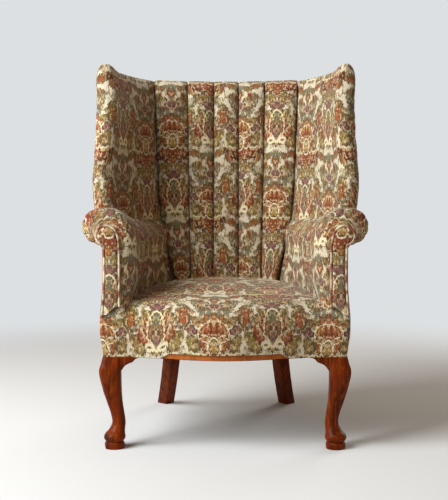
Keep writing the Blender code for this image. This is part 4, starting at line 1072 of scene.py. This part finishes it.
def makeOutside():
    corner, edge = outer["corner"], outer["corner"] + outer["halfGap"]
    overLeg = outer["seatCorner"]
    armHeights = steps(outer["low"], overLeg, 14) + steps(overLeg + 0.001, outer["seam"], 22)
    wingHeights = steps(outer["seam"] + 2 * chair["gap"], underCap, 44)
    for side, sign in sides:
        def armTurns(z):
            end = 2.0 if z > overLeg else turnAtY(seatPad["cornerBack"] + 0.0005, z)
            return [sign * min(t, end - 1e-5 * (2 - t)) for t in steps(edge, 2.0, 70)]

        def wingTurns(z):
            return [sign * t for t in steps(edge, wingTurn(wingPad["seam"], z), 44)]

        makePanel("outsideArm_" + side, "outside_arm_" + side, armTurns, armHeights, outer["turnedIn"])
        makePanel("outsideWing_" + side, "outside_wing_" + side, wingTurns, wingHeights)
    makePanel("outsideBack", "outside_back", lambda z: steps(-corner, corner, 70),
              steps(outer["low"], underCap, 70))


makeBack()
for side, sign in sides:
    makeWing(side, sign)
    makeArm(side, sign)
    makeFacing(side, sign)
makeSeat()
makeOutside()
print("upholstery built")


# piping, stitches and tacks, by geometry nodes along a line

def lineTree(name, **sockets):
    # a new tree with an outline, the given sockets and a material as its inputs
    tree = bpy.data.node_groups.new(name, "GeometryNodeTree")
    for socket, kind in dict(Outline="Geometry", **sockets, Finish="Material").items():
        tree.interface.new_socket(socket, in_out="INPUT", socket_type="NodeSocket" + kind)
    tree.interface.new_socket("Pieces", in_out="OUTPUT", socket_type="NodeSocketGeometry")
    draw = Drawing(tree)
    given = draw.add("NodeGroupInput", output=None)
    return draw, given, draw.add("GeometryNodeMeshToCurve", {0: given["Outline"]})


def finishTree(draw, given, shape):
    real = draw.add("GeometryNodeRealizeInstances", {0: shape})
    smooth = draw.add("GeometryNodeSetShadeSmooth", {0: real})
    done = draw.add("GeometryNodeSetMaterial", {0: smooth, "Material": given["Finish"]})
    draw.add("NodeGroupOutput", {0: done}, None)
    return draw.tree


def pipingTree():
    draw, given, line = lineTree("pipedEdge", Radius="Float")
    profile = draw.add("GeometryNodeCurvePrimitiveCircle", {"Resolution": 12, "Radius": given["Radius"]})
    return finishTree(draw, given, draw.add("GeometryNodeCurveToMesh", {
        "Curve": line, "Profile Curve": profile, "Fill Caps": True}))


def spacedTree():
    # small domes or stitches at an even spacing along a line
    draw, given, line = lineTree("spacedAlong", Spacing="Float", Size="Vector")
    spots = draw.add("GeometryNodeCurveToPoints", {"Curve": line, "Length": given["Spacing"]}, None,
                     mode="LENGTH")
    turned = draw.add("FunctionNodeAlignRotationToVector", {"Vector": spots["Tangent"]}, axis="X")
    bead = draw.add("GeometryNodeMeshUVSphere", {"Segments": 8, "Rings": 6, "Radius": 1.0})
    return finishTree(draw, given, draw.add("GeometryNodeInstanceOnPoints", {
        "Points": spots["Points"], "Instance": bead, "Rotation": turned, "Scale": given["Size"]}))


def byNodes(name, points, edges, tree, **values):
    # runs a tree on a line of points and keeps the result as a plain mesh
    line = bpy.data.meshes.new(name + "Line")
    line.from_pydata(points, edges, [])
    piece = addObject(name, line)
    modifier = piece.modifiers.new("nodes", "NODES")
    modifier.node_group = tree
    for item in tree.interface.items_tree:
        if item.in_out == "INPUT" and item.name in values:
            modifier[item.identifier] = values[item.name]
    ready = bpy.context.evaluated_depsgraph_get()
    mesh = bpy.data.meshes.new_from_object(piece.evaluated_get(ready), depsgraph=ready)
    bpy.data.objects.remove(piece)
    mesh.name = name
    return addObject(name, mesh)


pipedEdge = pipingTree()
spacedAlong = spacedTree()
for side, sign in sides:
    radius = facing["piping"]
    path = facingLine(facing["foot"] - 0.002, radius + 0.0004, 120)
    points = [(sign * x, armPad["front"] - facingDepth(radius + 0.0006, z), z) for x, z in path]
    cord = byNodes("facingPiping_" + side, points, [(i, i + 1) for i in range(len(points) - 1)], pipedEdge,
                   Radius=radius, Finish=piping)
    place(cord, "facing_piping_" + side)

# slip stitches where the outside covers meet: thread 0.9 mm thick, a stitch of 6 mm every 10 mm
stitch = {"spacing": 0.010, "size": (0.0030, 0.00045, 0.00045), "proud": 0.0003}


def makeStitches():
    corner, seamZ = outer["corner"] + outer["halfGap"] / 2, outer["seam"]
    points, edges = [], []

    def seam(line):
        first = len(points)
        for (x, y), z in line:
            middle = Vector((x, y - chair["barrelY"])).normalized() * stitch["proud"]
            points.append((x + middle.x, y + middle.y, z))
        edges.extend((i, i + 1) for i in range(first, len(points) - 1))

    for _, sign in sides:
        seam([(outsideAt(sign * corner, z), z) for z in steps(outer["low"], underCap, 80)])
        seam([(outsideAt(sign * wingTurn(wingPad["seam"], z), z), z) for z in steps(seamZ, underCap, 50)])
        last = wingTurn(wingPad["seam"], seamZ)
        seam([(outsideAt(sign * t, seamZ), seamZ + chair["gap"]) for t in steps(corner, last, 50)])
    piece = byNodes("slipStitches", points, edges, spacedAlong,
                    Spacing=stitch["spacing"], Size=stitch["size"], Finish=piping)
    place(piece, None)


makeStitches()

# bottom cloth: black cambric tacked under the rails
dust = {"thick": 0.0006, "sag": 0.004, "sagMiddle": -0.08, "sagHalf": (0.31, 0.28),
        "inset": 0.97, "tackSpacing": 0.045, "tackSize": (0.004, 0.004, 0.0014)}


def makeBottomCloth():
    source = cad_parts["bottom_cloth"].data
    top = max(v.co.z for v in source.vertices)
    shape = bmesh.new()
    shape.from_mesh(source)
    bmesh.ops.remove_doubles(shape, verts=shape.verts, dist=1e-5)
    away = [f for f in shape.faces if any(v.co.z < top - 1e-4 for v in f.verts)]
    bmesh.ops.delete(shape, geom=away, context="FACES")
    bmesh.ops.dissolve_limit(shape, angle_limit=0.02, verts=shape.verts, edges=shape.edges)
    bmesh.ops.triangulate(shape, faces=shape.faces)
    for _ in range(3):
        bmesh.ops.subdivide_edges(shape, edges=shape.edges, cuts=1, use_grid_fill=True)
    halfWide, halfLong = dust["sagHalf"]
    for v in shape.verts:
        across = max(1 - (v.co.x / halfWide) ** 2, 0)
        along = max(1 - ((v.co.y - dust["sagMiddle"]) / halfLong) ** 2, 0)
        v.co.z -= dust["sag"] * across * along
    rim = {v: i for i, v in enumerate(v for v in shape.verts if v.is_boundary)}
    tackLine = [(v.co.x * dust["inset"], v.co.y * dust["inset"], v.co.z - dust["thick"]) for v in rim]
    tackEdges = [(rim[e.verts[0]], rim[e.verts[1]]) for e in shape.edges if e.is_boundary]
    mesh = bpy.data.meshes.new("bottomCloth")
    shape.to_mesh(mesh)
    shape.free()
    mesh.shade_smooth()
    mesh.materials.clear()
    mesh.materials.append(cambric)
    piece = addObject("bottomCloth", mesh)
    place(piece, "bottom_cloth")
    tacks = byNodes("clothTacks", tackLine, tackEdges, spacedAlong,
                    Spacing=dust["tackSpacing"], Size=dust["tackSize"], Finish=steel)
    place(tacks, None)


makeBottomCloth()

# front legs: the cabriole line turned finer than the solid
legShape = {
    "foot": 0.030, "sides": 40, "postPower": 12,
    # height share, offset outwards, half width, squareness
    "profile": ((0.000, 0.0, 0.88, 2.0), (0.040, 0.0, 0.92, 2.0), (0.066, 0.0, 0.87, 2.0),
                (0.076, 0.0, 0.78, 2.0), (0.088, 0.0, 0.88, 2.0), (0.117, 0.0, 1.00, 2.0),
                (0.156, -0.001, 0.92, 2.0), (0.202, -0.006, 0.73, 2.1), (0.272, -0.0105, 0.62, 2.2),
                (0.381, -0.007, 0.635, 2.4), (0.502, -0.0005, 0.72, 2.6), (0.661, 0.006, 0.87, 3.0),
                (0.833, 0.010, 1.00, 3.6), (0.934, 0.0065, 0.92, 4.5), (1.000, 0.003, 0.88, 6.0)),
}


def squareRing(x, y, z, half, power):
    # from round at power 2 to nearly square
    ring = []
    for i in range(legShape["sides"]):
        angle = 2 * math.pi * i / legShape["sides"]
        reach = half / (abs(math.cos(angle)) ** power + abs(math.sin(angle)) ** power) ** (1 / power)
        ring.append((x + reach * math.cos(angle), y + reach * math.sin(angle), z))
    return ring


def makeFrontLeg(side, sign):
    footX, footY = chair["footX"], chair["footY"]
    rings = []
    for share, out, width, power in smoothLine(legShape["profile"])[::2]:
        z, half = share * chair["legHeight"], width * legShape["foot"]
        rings.append(squareRing(sign * (footX + out), footY - out, z, half, power))
    for z in (chair["legHeight"] + 0.0005, chair["railTop"] + 0.002):
        rings.append(squareRing(sign * footX, footY, z, chair["postSize"] / 2, legShape["postPower"]))
    place(loftPiece("frontLeg_" + side, rings, mahogany), "front_leg_" + side)


# knee brackets beside the front legs
earShape = {
    "length": 0.076, "drop": 0.043, "half": 0.0150, "root": 0.009, "bluntness": 0.6,
    "frontBack": 0.013, "sideOut": 0.006,       # how far their middles lie off the leg's
    # share of the way from the tip to the leg, share of the drop
    "lower": ((0.0, 0.02), (0.14, 0.07), (0.255, 0.17), (0.34, 0.33), (0.48, 0.42), (0.64, 0.55),
              (0.74, 0.73), (0.81, 0.88), (0.90, 0.95), (1.0, 1.0)),
}


def makeEar(name, node, section):
    rings = []
    top = chair["legHeight"] - chair["gap"]
    for share, drop in smoothLine(earShape["lower"])[::2]:
        ring = [section(share, 1.0, top), section(share, -1.0, top)]
        for angle in steps(180, 360, 19):
            turn = math.radians(angle)
            across = math.copysign(abs(math.cos(turn)) ** earShape["bluntness"], math.cos(turn))
            hang = earShape["drop"] * drop * abs(math.sin(turn)) ** earShape["bluntness"]
            ring.append(section(share, across, top - 0.0005 - hang))
        rings.append(ring)
    place(loftPiece(name, rings, mahogany), node)


for side, sign in sides:
    def along(share):
        return mix(earShape["length"], earShape["root"], share)

    def frontSection(share, across, z):
        y = chair["footY"] - earShape["frontBack"] + across * earShape["half"]
        return (sign * (chair["footX"] - along(share)), y, z)

    def sideSection(share, across, z):
        x = chair["footX"] + earShape["sideOut"] + across * earShape["half"]
        return (sign * x, chair["footY"] + along(share), z)

    makeFrontLeg(side, sign)
    makeEar("frontEar_" + side, "front_ear_" + side, frontSection)
    makeEar("sideEar_" + side, "side_ear_" + side, sideSection)
print("legs and cloth built")

# stage, light and camera
backdrop = {"tone": "#DDE0E2", "floor": "#DCDBD8", "near": 1.3, "far": 2.8, "size": 9.0,
            "room": "#F0C48C", "roomStrength": 0.16}
lights = {
    # name: place, aim, width, height, watts, colour
    "window": ((-2.5, -1.7, 2.6), (0.0, 0.0, 0.5), 2.2, 2.6, 245, "#F5FAFF"),
    "front": ((0.5, -3.6, 2.0), (0.0, 0.0, 0.5), 2.4, 1.6, 8, "#FFFFFF"),
    "rear": ((2.4, 2.8, 2.2), (0.0, 0.1, 0.6), 2.0, 2.0, 45, "#FFFFFF"),
}
view = {"place": (0.015, -2.7406, 0.6596), "tilt": 2.58, "turn": 0.42,
        "focal": 895.5, "high": 500, "sensor": 36}      # focal length and height in pixels


def makeStage():
    # a pale floor that keeps the shadow, and turns into the pale background farther out
    pale, draw = newMaterial("paleFloor")
    finishMaterial(pale, Base_Color=backdrop["floor"], Roughness=0.9)
    fade = draw.smooth(draw.length(draw.objectSpot()), backdrop["near"], backdrop["far"])
    share = draw.sums("MULTIPLY", fade, draw.add("ShaderNodeLightPath", output="Is Camera Ray"))
    glow = draw.add("ShaderNodeEmission", {"Color": backdrop["tone"], "Strength": 1.0})
    nodes = draw.tree.nodes
    both = draw.add("ShaderNodeMixShader", {0: share, 1: nodes["Principled BSDF"].outputs[0], 2: glow})
    setInputs(draw.tree, nodes["Material Output"], {"Surface": both})
    bpy.ops.mesh.primitive_circle_add(vertices=96, radius=backdrop["size"], fill_type="NGON")
    floor = bpy.context.object
    floor.name = "floor"
    floor.data.materials.append(pale)


def makeLights():
    for name, (spot, aim, wide, high, watts, tint) in lights.items():
        lamp = bpy.data.lights.new(name, "AREA")
        lamp.shape = "RECTANGLE"
        lamp.size, lamp.size_y = wide, high
        lamp.energy = watts
        lamp.color = hexLinear(tint)[:3]
        thing = addObject(name, lamp)
        thing.location = spot
        thing.rotation_euler = (Vector(aim) - Vector(spot)).to_track_quat("-Z", "Y").to_euler()


def makeWorld():
    # a warm fill for the chair; what the camera and polished faces see is the pale background
    world = bpy.data.worlds.new("room")
    world.use_nodes = True
    tree = world.node_tree
    draw, room = Drawing(tree), tree.nodes["Background"]
    setInputs(tree, room, {"Color": backdrop["room"], "Strength": backdrop["roomStrength"]})
    pale = draw.add("ShaderNodeBackground", {"Color": backdrop["tone"], "Strength": 1.0})
    path = draw.add("ShaderNodeLightPath", output=None)
    seen = path["Is Camera Ray"]
    for ray in ("Is Glossy Ray", "Is Transmission Ray"):
        seen = draw.sums("MAXIMUM", seen, path[ray])
    both = draw.add("ShaderNodeMixShader", {0: seen, 1: room.outputs[0], 2: pale})
    setInputs(tree, tree.nodes["World Output"], {"Surface": both})
    bpy.context.scene.world = world


def makeCamera():
    camera = bpy.data.cameras.new("photoView")
    camera.sensor_fit = "VERTICAL"
    camera.sensor_height = view["sensor"]
    camera.lens = view["focal"] / view["high"] * view["sensor"]
    thing = addObject("photoView", camera)
    thing.location = view["place"]
    thing.rotation_euler = (math.radians(90 - view["tilt"]), 0, math.radians(view["turn"]))
    bpy.context.scene.camera = thing


makeStage()
makeLights()
makeWorld()
makeCamera()
bpy.context.scene.view_settings.view_transform = "Standard"
